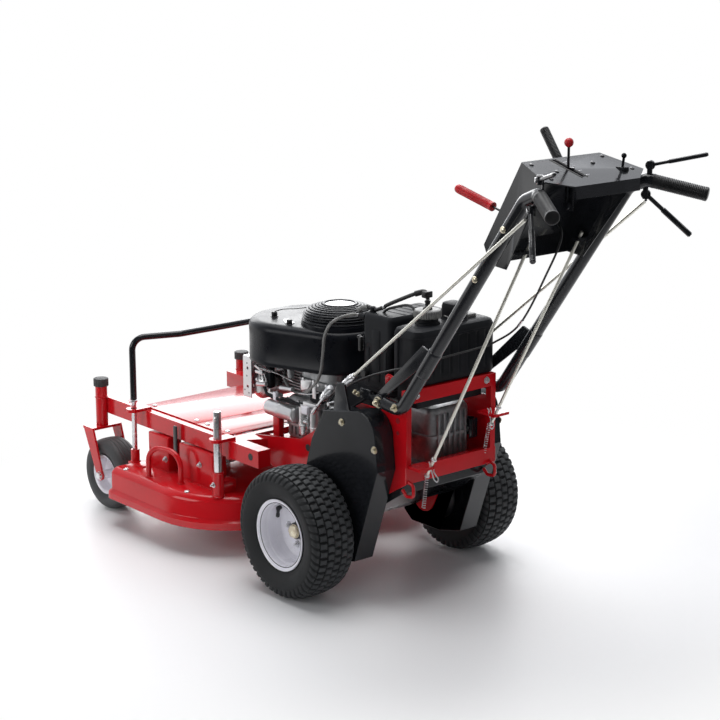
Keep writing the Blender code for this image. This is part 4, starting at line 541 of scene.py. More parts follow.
def rear_tyre(name, side):
    """A turned section whose radius at each angle is lowered by up to 5 mm in the grooves."""
    half = [(0.0802, 0.0500), (0.0900, 0.0503), (0.0950, 0.0512), (0.1010, 0.0548), (0.1120, 0.0600),
            (0.1270, 0.0632), (0.1400, 0.0631), (0.1500, 0.0598), (0.1570, 0.0520), (0.1615, 0.0380),
            (0.1638, 0.0220), (0.1648, 0.0080), (0.1650, 0.0)]
    curve = smooth_curve(half, 900)
    step = np.linalg.norm(np.diff(curve, axis=0), axis=1)
    run = np.concatenate([[0], np.cumsum(step)])
    bead_end = np.interp(0.130, curve[:, 0], run)
    marks = np.concatenate([np.linspace(0, bead_end, 20)[:-1], np.linspace(bead_end, run[-1], 40)])
    outer = np.column_stack([np.interp(marks, run, curve[:, 0]), np.interp(marks, run, curve[:, 1])])
    profile = np.vstack([outer, (outer * [1, -1])[-2::-1]])
    count = 720
    a = np.arange(count) * TURN / count
    r, h = profile[:, :1], profile[:, 1:]
    crown = np.clip((r - 0.1565) / 0.002, 0, 1)
    groove = np.where(crown > 0.5, tread(a[None], h), shoulder_lug(a[None], r))
    zone = np.clip((r - 0.134) / 0.006, 0, 1)
    sink = np.where(crown > 0.5, 0.0050, 0.0030) * zone * groove
    ridge = 0.0007 * (np.exp(-(((r - 0.128) / 0.0012) ** 2)) + np.exp(-(((r - 0.099) / 0.0010) ** 2)))
    top = np.clip(1 - groove, 0, 1) * zone * np.clip((r - 0.150) / 0.008, 0.25, 1)
    slope = unit(np.gradient(profile, axis=0))
    normal = np.column_stack([-slope[:, 1], slope[:, 0]])
    normal *= np.sign((normal * np.column_stack([np.ones(len(profile)),
                                                 np.sign(profile[:, 1])])).sum(1, keepdims=True))
    shift = (ridge - sink)[..., None] * normal[:, None, :]
    radius = r + shift[..., 0]
    height = np.clip(h + shift[..., 1], -0.0634, 0.0634)
    x = side * (WHEEL_X + height)
    points = np.stack([x, radius * np.cos(a), TYRE_R + radius * np.sin(a)], -1)
    put(name, f"rear_wheel_{'left' if side < 0 else 'right'}", RUBBER, [grid(points, ring=True)], [name],
        50, top.reshape(-1))


def rear_rim(name, side):
    """Pressed rim: rolled lips, bead seats, a stepped barrel tapering to the flat web."""
    outer = [(0.0805, 0.0495), (0.0880, 0.0500), (0.0905, 0.0512), (0.0905, 0.0535), (0.0885, 0.0545),
             (0.0862, 0.0536), (0.0832, 0.0508), (0.0800, 0.0490), (0.0782, 0.0440), (0.0778, 0.0330),
             (0.0752, 0.0300), (0.0748, 0.0130), (0.0735, 0.0060), (0.0685, -0.0060), (0.0620, -0.0082),
             (0.0260, -0.0082), (0.0240, -0.0090), (0.0240, -0.0118)]
    inner = [(0.0640, -0.0118), (0.0720, -0.0100), (0.0740, -0.0130), (0.0748, -0.0500), (0.0880, -0.0545),
             (0.0905, -0.0535), (0.0905, -0.0512), (0.0880, -0.0500), (0.0805, -0.0495)]
    profile = filleted(outer + inner, 0.0022, 4)
    centre = (side * WHEEL_X, 0, TYRE_R)
    body = f"rear_wheel_{'left' if side < 0 else 'right'}"
    put(name, body, WHITE, [lathe(profile, centre, (side, 0, 0), 112, ring=True)], [name], 40)


def on_wheel(side, height, y, z):
    return np.array([side * (WHEEL_X + height), y, TYRE_R + z])


def rear_hub(name, side):
    """Hub with flange, sleeve and belt pulley; studs and nuts; the valve."""
    body = f"rear_wheel_{'left' if side < 0 else 'right'}"
    centre = (side * WHEEL_X, 0, TYRE_R)
    flange = [(0.0130, 0.0036), (0.0200, 0.0036), (0.0213, 0.0026), (0.0213, -0.0084), (0.0213, -0.0123),
              (0.0460, -0.0123), (0.0460, -0.0172), (0.0240, -0.0172), (0.0240, -0.0874), (0.0670, -0.0874),
              (0.0680, -0.0880), (0.0680, -0.0932), (0.0590, -0.1006), (0.0590, -0.1024), (0.0680, -0.1096),
              (0.0680, -0.1150), (0.0670, -0.1155), (0.0130, -0.1155)]
    put(name, body, DARK_STEEL, [lathe(filleted(flange, 0.0006, 2), centre, (side, 0, 0), 64, ring=True)],
        [name])
    nuts = []
    for angle in (0.10, 1.67, 3.24, 4.81):
        at = on_wheel(side, -0.0080, 0.0370 * math.cos(angle), 0.0370 * math.sin(angle))
        nuts += bolt(at, (side, 0, 0), 0.0068, 0.0060)
    put(f"wheel_nuts_{name[9:]}", body, WHITE_ZINC, nuts)
    seal = [(0.0135, 0.0034), (0.0150, 0.0046), (0.0182, 0.0046), (0.0196, 0.0034)]
    put(f"bearing_seal_{name[9:]}", body, GRIP, [lathe(seal, centre, (side, 0, 0), 48, ring=True)])
    lean = np.array([[0.0115, 0.0535, 0.0505], [0.0150, 0.0510, 0.0482], [0.0205, 0.0455, 0.0425],
                     [0.0255, 0.0400, 0.0372], [0.0290, 0.0365, 0.0335]])
    path = smooth_curve(lean, 26)
    places = np.column_stack([side * (WHEEL_X + path[:, 0]), path[:, 1], TYRE_R + path[:, 2]])
    s = np.linspace(0, 1, 26)
    thick = np.interp(s, [0, 0.12, 0.32, 0.45, 0.62, 0.66, 0.96, 1],
                      [0.0086, 0.0080, 0.0058, 0.0042, 0.0040, 0.0050, 0.0048, 0.0036])
    put(f"tyre_valve_{name[9:]}", body, GRIP, [tube(places, thick, 20)])


def rear_axle():
    reach = WHEEL_X + 0.0120
    shafts = [bar((-reach, 0, TYRE_R), (reach, 0, TYRE_R), 0.0125, 40)]
    put("rear_axle_shaft", "chassis", STEEL, shafts, ["rear_axle"])
    nuts = []
    for _, side in SIDES:
        start = WHEEL_X + 0.0043
        nuts.append(washer((side * start, 0, TYRE_R), (side, 0, 0), 0.0178, 0.0020))
        nuts.append(hexagon((side * (start + 0.0019), 0, TYRE_R), (side, 0, 0), 0.0168, 0.0078))
        nuts.append(lathe([(0.0, 0.0012), (0.0035, 0.0012), (0.0042, 0.0024), (0.0094, 0.0024),
                           (0.0104, 0.0014), (0.0104, 0.0), (0.0, 0.0)], (side * reach, 0, TYRE_R),
                          (-side, 0, 0), 32))
    put("rear_axle_nuts", "chassis", BRASS, nuts)


# Caster wheels and forks

def caster(side, name):
    wheel, fork = f"caster_wheel_{name}", f"caster_{name}"
    centre = np.array([side * CASTER_X, CASTER_AXLE_Y, CASTER_R])
    half = [(0.0503, 0.0292), (0.0590, 0.0294), (0.0640, 0.0330), (0.0715, 0.0376), (0.0820, 0.0380),
            (0.0920, 0.0345), (0.0985, 0.0260), (0.1010, 0.0140), (0.1016, 0.0)]
    outer = smooth_curve(half, 56)
    profile = np.vstack([outer, (outer * [1, -1])[-2::-1]])
    grooves = sum(np.exp(-(((profile[:, 1] - at) / 0.0011) ** 2)) for at in (-0.018, -0.006, 0.006, 0.018))
    profile[:, 0] -= 0.0016 * grooves * (profile[:, 0] > 0.09)
    put(f"caster_tyre_{name}_skin", wheel, CASTER_RUBBER,
        [lathe(profile, centre, (side, 0, 0), 128, ring=True)], [f"caster_tyre_{name}"], 60)
    rim = [(0.0500, 0.0292), (0.0555, 0.0298), (0.0565, 0.0312), (0.0562, 0.0326), (0.0545, 0.0330),
           (0.0500, 0.0306), (0.0475, 0.0270), (0.0465, 0.0100), (0.0440, 0.0028), (0.0380, 0.0016),
           (0.0165, 0.0016), (0.0150, 0.0030), (0.0125, 0.0060), (0.0125, 0.0396), (0.0115, 0.0399),
           (0.0069, 0.0399)]
    rim = filleted(rim + [(r, -h) for r, h in reversed(rim)], 0.0012, 3)
    put(f"caster_rim_{name}_skin", wheel, WHITE, [lathe(rim, centre, (side, 0, 0), 96, ring=True)],
        [f"caster_rim_{name}"], 40)
    eased(f"caster_fork_{name}", fork, RED, 0.0011)
    x = centre[0]
    ends = []
    for way in (-1, 1):
        face = x + way * (CASTER_HALF + 0.0105)
        ends += [washer((face, CASTER_AXLE_Y, CASTER_R), (way, 0, 0), 0.0120),
                 hexagon((face + way * 0.0015, CASTER_AXLE_Y, CASTER_R), (way, 0, 0), 0.0108, 0.0066)]
    put(f"caster_axle_nuts_{name}", fork, WHITE_ZINC, ends)
    wave = lambda p, t: np.where(p[:, :1] > 0.0198, 0.0005 * np.cos(24 * t)[None], 0.0)
    cap = filleted([(0, 0.0224), (0.0190, 0.0224), (0.0206, 0.0212), (0.0206, 0.0008), (0.0198, 0), (0, 0)],
                   0.0010, 3)
    put(f"kingpin_cap_{name}", fork, CASTER_RUBBER,
        [lathe(cap, (x, CASTER_Y, CAP_LOW + 0.0002), (0, 0, 1), 120, wave=wave)])
    beads = [ring_bead((x, CASTER_Y, 0.2325), (0, 0, 1), 0.0130, 0.0016)]
    for way in (-1, 1):
        leg = x + way * (CASTER_HALF + 0.0042)
        beads.append(bead((leg, CASTER_Y - 0.022, 0.2250), (leg, CASTER_Y + 0.022, 0.2250), 0.0020))
    put(f"fork_welds_{name}", fork, RED, beads)


# Frames

def frames():
    eased("carrier_frame", "chassis", RED, 0.0016)
    eased("rear_frame", "chassis", RED, 0.0012)
    eased("lower_guard", "chassis", BLACK, 0.0012)
    low, top = RAIL_TOP + 0.0003, COVER_TOP
    sheets = [box((-0.211, 0.372, low), (0.211, 0.5142, top), 0.0009),
              box((-0.211, 0.5152, low), (0.211, 0.765, top), 0.0009)]
    put("belt_cover_plates", "chassis", RED, sheets, ["cover_plate"])
    beads = []
    for _, side in SIDES:
        outer = side * RAIL_OUTER
        inner = side * RAIL_INNER
        beads += [bead((side * 0.217, 0.9045, 0.3080), (outer, 0.9045, 0.3080), 0.0024),
                  bead((outer, 0.9085, 0.2700), (outer, 0.9085, 0.3100), 0.0024),
                  ring_bead((side * CASTER_X, CASTER_Y, 0.3122), (0, 0, 1), 0.0172, 0.0024),
                  bead((inner, 0.714, RAIL_TOP), (inner - side * 0.18, 0.714, RAIL_TOP), 0.0018),
                  bead((side * 0.1475, -0.2555, 0.3190), (side * 0.1475, -0.2555, 0.3600), 0.0020),
                  bead((side * 0.1330, -0.2400, 0.5480), (side * 0.1330, -0.2560, 0.5480), 0.0020)]
        for y in (PIN_FRONT_Y, PIN_REAR_Y):
            beads.append(bead((outer - side * 0.001, y - 0.018, 0.3125),
                              (outer - side * 0.001, y + 0.018, 0.3125), 0.0022))
    put("frame_weld_beads", "chassis", RED, beads)
    bolts = []
    for _, side in SIDES:
        for y in (0.40, 0.49, 0.54, 0.74):
            bolts.append(dome_head((side * 0.192, y, top), (0, 0, 1), 0.0070))
    for x in (-0.115, 0.115):
        bolts += bolt((x, -0.2562, 0.5330), (0, -1, 0), 0.0060, 0.003)
    put("frame_bolts", "chassis", WHITE_ZINC, bolts)
    # Flat dark discs set in the side plates' holes and in the rail ends' bores: painted shade where the holes
    # are.
    hole_shade, bore_shade = [], []
    for _, side in SIDES:
        out, plate = (side, 0, 0), side * SIDE_PLATE_X
        for z, r in ((0.470, 0.0070), (0.440, 0.0050)):
            hole_shade.append(washer((plate, -0.225, z), out, r, 0.0006))
        for x, y, z in ((side * (RAIL_OUTER + 0.0001), 0.243, 0.290), (plate, 0.118, 0.326)):
            bore_shade.append(washer((x, y, z), out, 0.0095, 0.0004))
    put("side_plate_hole_shade", "chassis", HOLE_SHADE_RED, hole_shade)
    put("rail_end_hole_shade", "chassis", GRIP, bore_shade)
    tab = rounded([(-0.186, 0.540), (-0.150, 0.540), (-0.150, 0.562), (-0.160, 0.570), (-0.186, 0.566)],
                  0.005, 4)
    eye = lathe([(0.0050, 0.0002), (0.0075, 0.0012), (0.0095, 0.0002), (0.0095, -0.0002),
                 (0.0050, -0.0002)], (-0.1224, -0.168, 0.555), (-1, 0, 0), 40, ring=True)
    put("tank_strap_tab", "chassis", RED, [slab(tab, -0.1222, -0.1192, "X", 0.0008), eye])
    loops = []
    for x in (-0.140, 0.130):
        run = filleted([(x, -0.252, 0.325), (x, -0.2745, 0.318), (x, -0.2755, 0.290), (x, -0.2500, 0.286),
                        (x, -0.236, 0.300)], 0.010, 6)
        loops.append(tube(run, 0.0042, 12))
    put("tie_down_loops", "chassis", RED, loops)


def side_covers():
    for name, side in SIDES:
        eased(f"side_cover_{name}", "chassis", BLACK, 0.0022)
        out = (side, 0, 0)
        face = side * 0.2060
        bolts = []
        for y, z in ((-0.087, 0.448), (-0.208, 0.405), (0.060, 0.135), (-0.100, 0.118)):
            bolts += [washer((face, y, z), out, 0.0095, 0.0016),
                      hexagon((face + side * 0.0014, y, z), out, 0.0066, 0.0050)]
        put(f"side_cover_bolts_{name}", "chassis", BRASS, bolts)
        rim = [(0.0315, 0.0018), (0.0345, 0.0018), (0.0350, 0.0), (0.0310, 0.0)]
        put(f"hub_hole_rim_{name}", "chassis", BLACK,
            [lathe(rim, (face - side * 0.0002, 0, TYRE_R), out, 64, ring=True)])


# Drive

def drive():
    outline = rectangle((-0.026, -0.205), (0.112, -0.034), 0.020, 8)
    case = loft(outline, [(0.006, 0.3305), (0.001, 0.333), (0, 0.337), (0, 0.392), (-0.004, 0.394),
                          (-0.004, 0.402), (0, 0.404), (0, 0.456), (0.002, 0.463), (0.008, 0.470)])
    shapes = [case, box((-0.040, -0.195, 0.3226), (0.126, -0.044, 0.3320), 0.0015)]
    shapes.append(lathe(filleted([(0, 0.0), (0.022, 0.0), (0.0245, 0.003), (0.0245, 0.183), (0.022, 0.186),
                                  (0, 0.186)], 0.002, 3), (-0.050, SHAFT_Y, SHAFT_Z), (1, 0, 0), 48))
    for x in np.arange(-0.004, 0.096, 0.018):
        shapes.append(box((x, -0.2130, 0.345), (x + 0.0045, -0.200, 0.455), 0.0009))
        shapes.append(box((x, -0.0380, 0.345), (x + 0.0045, -0.030, 0.455), 0.0009))
    for z in (0.360, 0.380, 0.420, 0.440):
        shapes.append(box((0.108, -0.190, z), (0.1165, -0.050, z + 0.0040), 0.0009))
    shapes.append(lathe(filleted([(0, 0.012), (0.026, 0.012), (0.032, 0.006), (0.034, 0), (0, 0)], 0.003,
                                 3), (0.043, -0.120, 0.470), (0, 0, 1), 48))
    put("gearbox_case", "chassis", ALLOY, shapes, ["gearbox"])
    screws = []
    for x, y in ((-0.018, -0.190), (0.104, -0.190), (-0.018, -0.048), (0.104, -0.048), (-0.022, -0.118)):
        screws.append(hexagon((x, y, 0.4010), (0, 0, 1), 0.0055, 0.0055))
    put("gearbox_screws", "chassis", WHITE_ZINC, screws)
    bracket = [box((0.118, -0.215, 0.380), (0.123, -0.150, 0.428), 0.0010),
               box((0.096, -0.219, 0.380), (0.123, -0.215, 0.428), 0.0010)]
    put("idler_bracket", "chassis", BLACK, bracket)
    sheave = [(0.010, 0.0005), (0.0330, 0.0005), (0.0340, 0.0015), (0.0340, 0.0055), (0.0265, 0.0085),
              (0.0258, 0.0130), (0.0265, 0.0235), (0.0340, 0.0265), (0.0340, 0.0290), (0.0330, 0.0300),
              (0.010, 0.0300)]
    shapes = [bar((-0.196, SHAFT_Y, SHAFT_Z), (0.196, SHAFT_Y, SHAFT_Z), 0.0100, 32)]
    for _, side in SIDES:
        shapes.append(lathe(filleted(sheave, 0.0006, 2), (side * 0.163, SHAFT_Y, SHAFT_Z), (side, 0, 0), 64,
                            ring=True))
    put("drive_shaft_and_sheaves", "drive_shaft", STEEL, shapes, ["drive_shaft"])


# Cutting deck

def arc(centre, radius, start, end, count):
    a = np.radians(np.linspace(start, end, count))
    return np.column_stack([centre[0] + radius * np.cos(a), centre[1] + radius * np.sin(a)])


def deck_outline():
    left = arc((-0.103, 0.500), 0.235, 180, 272, 34)
    right = arc(BLADE_RIGHT, 0.217, 245, 360, 44)
    front = filleted([right[-1], (0.486, 0.640), (0.466, 0.668), (0.400, 0.700), (0.130, 0.757),
                      (-0.326, 0.757), (-0.338, 0.745), left[0]], 0.010, 4)
    return even(np.vstack([left, right, front[1:-1]]), 480)


def deck_skin():
    """One closed sheet: outside from the band up over the shoulder, inside back down. In the discharge
    opening every level below its top edge is lifted to it."""
    outline = deck_outline()
    sheet = 0.003
    out = [(-0.0085, 0.0770), (-0.0100, 0.0785), (-0.0100, 0.0955), (-0.0085, 0.0975), (-0.0010, 0.1030),
           (0.0, 0.1050), (0.0, 0.1470), (0.0012, 0.1515), (0.0060, 0.1575), (0.0115, 0.1630),
           (0.0160, 0.1650)]
    inner = [(0.0190, 0.1620), (0.0040, 0.1480), (sheet, 0.1460), (sheet, 0.1030), (-0.0065, 0.0960),
             (-0.0070, 0.0785), (-0.0080, 0.0770)]
    opened = (outline[:, 0] > 0.475) & (outline[:, 1] > 0.425) & (outline[:, 1] < 0.625)
    rings = []
    for levels in (out, inner):
        for amount, height in levels:
            spot = inset(outline, amount)
            z = np.where(opened, max(height, 0.1460 if levels is out else 0.1450), height)
            rings.append(np.column_stack([spot, z]))
    count = len(out)
    points = np.stack(rings)
    spots, quads, _ = grid(points, ring=True)
    n = len(outline)
    split = (quads[:, 0] // n == count - 1)
    quads = quads[~split]
    top = np.arange((count - 1) * n, count * n)
    under = np.arange(count * n, (count + 1) * n)[::-1]
    return spots, quads, [top, under]


def deck():
    shapes = [deck_skin()]
    beads = []
    for x in (PIN_LEFT_X, PIN_RIGHT_X):
        x0, x1 = x + 0.0135, x + 0.0595
        shapes.append(box((x0, 0.395, DECK_TOP - 0.002), (x1, 0.550, 0.262), 0.0030, corner=0.004))
        shapes.append(box((x0, 0.600, DECK_TOP - 0.002), (x1, 0.695, 0.262), 0.0030, corner=0.004))
        shapes.append(box((x0, PIN_REAR_Y, DECK_TOP - 0.002), (x1, 0.400, 0.198), 0.0020))
        shapes.append(box((x - 0.016, 0.680, DECK_TOP - 0.0035), (x + 0.016, 0.755, DECK_TOP + 0.003),
                          0.0012))
        socket = [(0.0113, 0.0), (0.0145, 0.0), (0.0155, 0.0010), (0.0155, 0.0660), (0.0145, 0.0670),
                  (0.0120, 0.0670), (0.0113, 0.0663)]
        shapes.append(lathe(socket, (x, PIN_REAR_Y, 0.161), (0, 0, 1), 48, ring=True))
        lug = [(0.0, 0.0), (0.0125, 0.0), (0.0125, 0.0400), (0.0115, 0.0410), (0.0076, 0.0410),
               (0.0072, 0.0400), (0.0, 0.0395)]
        shapes.append(lathe(lug, (x, PIN_FRONT_Y, 0.162), (0, 0, 1), 40))
        beads += [ring_bead((x, PIN_REAR_Y, 0.1660), (0, 0, 1), 0.0162, 0.0030),
                  ring_bead((x, PIN_FRONT_Y, 0.1685), (0, 0, 1), 0.0130, 0.0024)]
        for y0, y1 in ((0.395, 0.550), (0.600, 0.695)):
            beads += [bead((x0, y0, 0.1660), (x0, y1, 0.1660), 0.0026),
                      bead((x1, y0, 0.1660), (x1, y1, 0.1660), 0.0026),
                      bead((x0, y0, 0.1660), (x1, y0, 0.1660), 0.0026),
                      bead((x0, y1, 0.1660), (x1, y1, 0.1660), 0.0026)]
    shapes.append(lathe([(0.0, 0), (0.0040, 0), (0.0045, 0.0005), (0.0045, 0.0695), (0.0040, 0.070),
                         (0, 0.070)], (0.492, 0.490, 0.1615), (0, 1, 0), 20))
    shapes.append(box((0.456, 0.490, 0.1585), (0.492, 0.560, 0.1625), 0.0008))
    put("deck_sheet_and_belt_covers", "deck", RED, shapes, ["deck_shell"], 28)
    beads += [ring_bead((-0.306, 0.607, 0.1662), (0, 0, 1), 0.0080, 0.0022),
              ring_bead((-0.277, 0.498, 0.1662), (0, 0, 1), 0.0080, 0.0022)]
    put("deck_weld_beads", "deck", RED, beads)
    bolts = []
    for x in (PIN_LEFT_X, PIN_RIGHT_X):
        bolts += bolt((x + 0.0135, 0.452, 0.2214), (-1, 0, 0), 0.0060)
        bolts += bolt((x + 0.0135, 0.612, 0.200), (-1, 0, 0), 0.0060)
        bolts += bolt((x - 0.0150, PIN_REAR_Y, 0.196), (-1, 0, 0), 0.0052, 0.005)
    for x, y in ((-0.318, 0.700), (-0.305, 0.430), (0.10, 0.700), (-0.10, 0.735), (0.30, 0.640),
                 (0.42, 0.480), (0.05, 0.320)):
        bolts.append(dome_head((x, y, DECK_TOP), (0, 0, 1), 0.0080))
    put("deck_bolts", "deck", WHITE_ZINC, bolts)
    put("belt_cover_strap", "deck", BLACK, [box((-0.2500, 0.553, 0.212), (-0.2466, 0.569, 0.306), 0.0008,
                                                "X", 0.004)])
    loop = filleted([(-0.306, 0.607, 0.1653), (-0.306, 0.607, 0.250), (-0.277, 0.498, 0.250),
                     (-0.277, 0.498, 0.1653)], 0.045, 14)
    put("lift_loop_bar", "deck", RED, [tube(loop, 0.0072, 20)], ["lift_loop"])
    left, right, y, top = PIN_LEFT_X, PIN_RIGHT_X, PIN_FRONT_Y, 0.518
    path = [(left, y, 0.337), (left, y, top), (left + 0.128, y - 0.044, top),
            (right - 0.128, y - 0.044, top), (right, y, top), (right, y, 0.337)]
    put("lift_bar_tube", "deck", BLACK, [tube(filleted(path, 0.035, 12), 0.0090, 24)], ["lift_bar"])
    pins, clips = [], []
    for x in (left, right):
        pins.append(lathe(filleted([(0, 0), (0.0070, 0), (0.0070, 0.150), (0.0105, 0.151), (0.0105, 0.158),
                                    (0.0070, 0.159), (0, 0.159)], 0.0008, 2), (x, y, 0.186), (0, 0, 1), 32))
        clips.append(hairpin((x, y, 0.3400), (-0.8, -0.5, 0.06), (0, 0, 1), 0.9))
        turned_pin = filleted([(0, 0.2042), (0.0092, 0.2042), (0.0110, 0.2024), (0.0110, 0.0), (0, 0)],
                              0.0006, 2)
        pins.append(lathe(turned_pin, (x, PIN_REAR_Y, 0.1885), (0, 0, 1), 40))
        clips.append(hairpin((x, PIN_REAR_Y, 0.3700), (-0.7, -0.65, 0.05), (0, 0, 1)))
    put("height_pins", "deck", WHITE_ZINC, pins, ["rear_height_pin_left", "rear_height_pin_right"])
    put("height_pin_hairpins", "chassis", WHITE_ZINC, clips)
    # Short dark plugs in the pin plates' holes: painted shade inside the holes.
    hole_shade = []
    for x in (left, right):
        for z in np.arange(0.245, 0.385, 0.0175):
            for way in (-1, 1):
                hole_shade.append(lathe([(0, 0.0001), (0.0026, 0.0), (0.0026, -0.002), (0, -0.002)],
                                   (x, PIN_REAR_Y + way * 0.01085, z), (0, way, 0), 16))
        for z in np.arange(0.222, 0.262, 0.0175):
            hole_shade.append(lathe([(0, 0.0001), (0.0018, 0.0), (0.0018, -0.002), (0, -0.002)],
                               (x, y - 0.0069, z), (0, -1, 0), 14))
    put("pin_hole_shade", "deck", DARK_STEEL, hole_shade)


def cutters():
    for name, centre in (("left", BLADE_LEFT), ("right", BLADE_RIGHT)):
        body = f"cutter_{name}"
        x, y = centre
        housing = [(0, 0.1005), (0.0110, 0.1005), (0.0125, 0.1020), (0.0125, 0.1180), (0.0260, 0.1180),
                   (0.0297, 0.1215), (0.0297, 0.1850), (0.0270, 0.1900), (0.0150, 0.1900), (0.0150, 0.1955),
                   (0.0550, 0.1955), (0.0550, 0.1975), (0.0462, 0.2025), (0.0462, 0.2050), (0.0550, 0.2100),
                   (0.0550, 0.2120), (0.0300, 0.2120), (0.0280, 0.2110), (0.0170, 0.2110), (0.0150, 0.2135),
                   (0.0125, 0.2135), (0.0125, 0.2205), (0.0110, 0.2220), (0, 0.2220)]
        put(f"spindle_{name}_turned", body, STEEL,
            [lathe(filleted(housing, 0.0008, 2), (x, y, 0), (0, 0, 1), 72)], [f"spindle_{name}"])
        eased(f"blade_{name}", body, BLADE, 0.0007)
        put(f"blade_nut_{name}", body, BRASS, [hexagon((x, y, 0.2115), (0, 0, 1), 0.0150, 0.0085)])
    eased("discharge_chute", "chute", PLASTIC, 0.0012)
    springs = []
    for y in (0.438, 0.612):
        turns = np.linspace(0, 5 * TURN, 90)
        coil = np.column_stack([0.492 + 0.0052 * np.cos(turns), y + 0.012 * turns / (5 * TURN) - 0.006,
                                0.1615 + 0.0052 * np.sin(turns)])
        springs.append(tube(coil, 0.0008, 8))
    put("chute_hinge_springs", "chute", WHITE_ZINC, springs)


# Engine

def housing_outline():
    """Seen from above: wide and round in front, drawn in at the rear to a circle about the crankshaft."""
    x, y = HOUSING_HALF_X - HOUSING_CORNER, HOUSING_FRONT - HOUSING_CORNER
    lean = math.degrees(math.atan2(HOUSING_REAR_R - HOUSING_CORNER - x, y - ENGINE_Y))
    front = [arc((x, y), HOUSING_CORNER, lean, 90, 40), arc((-x, y), HOUSING_CORNER, 90, 180 - lean, 40)]
    return even(np.vstack(front + [arc((0, ENGINE_Y), HOUSING_REAR_R, 180 - lean, 360 + lean, 90)]), 360)


def blower_housing():
    """Deep drawn cover: an upright wall turned in at its rim, a round shoulder r (1 - cos a), r sin a, a
    flat top and a raised seat for the screen."""
    r, low, top = 0.022, HOUSING_LOW, HOUSING_TOP
    a = np.radians(np.linspace(0, 90, 12))
    shoulder = np.column_stack([r - r * np.cos(a), top - r + r * np.sin(a)])
    skirt = np.array([(0.0040, 0.0600), (0.0040, 0.0030), (0.0036, 0.0006), (0.0030, 0.0004),
                      (0.0006, 0.0008), (0.0, 0.0022), (0.0, 0.0120), (0.0010, 0.0140),
                      (0.0010, 0.0700)]) + [0, low]
    shapes = [loft(housing_outline(), np.vstack([skirt, shoulder, [(0.030, top)]]))]
    seat = np.array([(0.0930, -0.0145), (0.1003, -0.0145), (0.1003, 0.0020), (0.0999, 0.0060),
                     (0.0997, 0.0090), (0.0990, 0.0103), (0.0930, 0.0103)])
    shapes.append(lathe(seat + [0, top], (0, ENGINE_Y, 0), (0, 0, 1), 120, ring=True))
    put("blower_housing_cover", "chassis", HOUSING, shapes, ["blower_housing"], 40)
    studs = []
    for x, y, tall in ((-0.0787, 0.3395, 0.0125), (-0.1060, 0.2420, 0.0120)):
        studs += [washer((x, y, top - 0.0004), (0, 0, 1), 0.0105, 0.0016),
                  hexagon((x, y, top + 0.0008), (0, 0, 1), 0.0078, tall)]
    studs.append(tube(smooth_curve([(-0.0780, 0.3390, 0.6330), (-0.0700, 0.3140, 0.6420),
                                    (-0.0580, 0.2760, 0.6480), (-0.0440, 0.2480, 0.6540)], 30), 0.0012, 8))
    put("housing_nuts", "chassis", GRIP, studs)
    tab = rounded(np.array([(-0.1010, 0.2380), (-0.0860, 0.2460), (-0.0700, 0.2880), (-0.0850, 0.2930),
                            (-0.1060, 0.2620)]), 0.003, 3)
    put("housing_washer_plate", "chassis", GUARD, [slab(tab, top - 0.0004, top + 0.0018, "Z", 0.0005)])


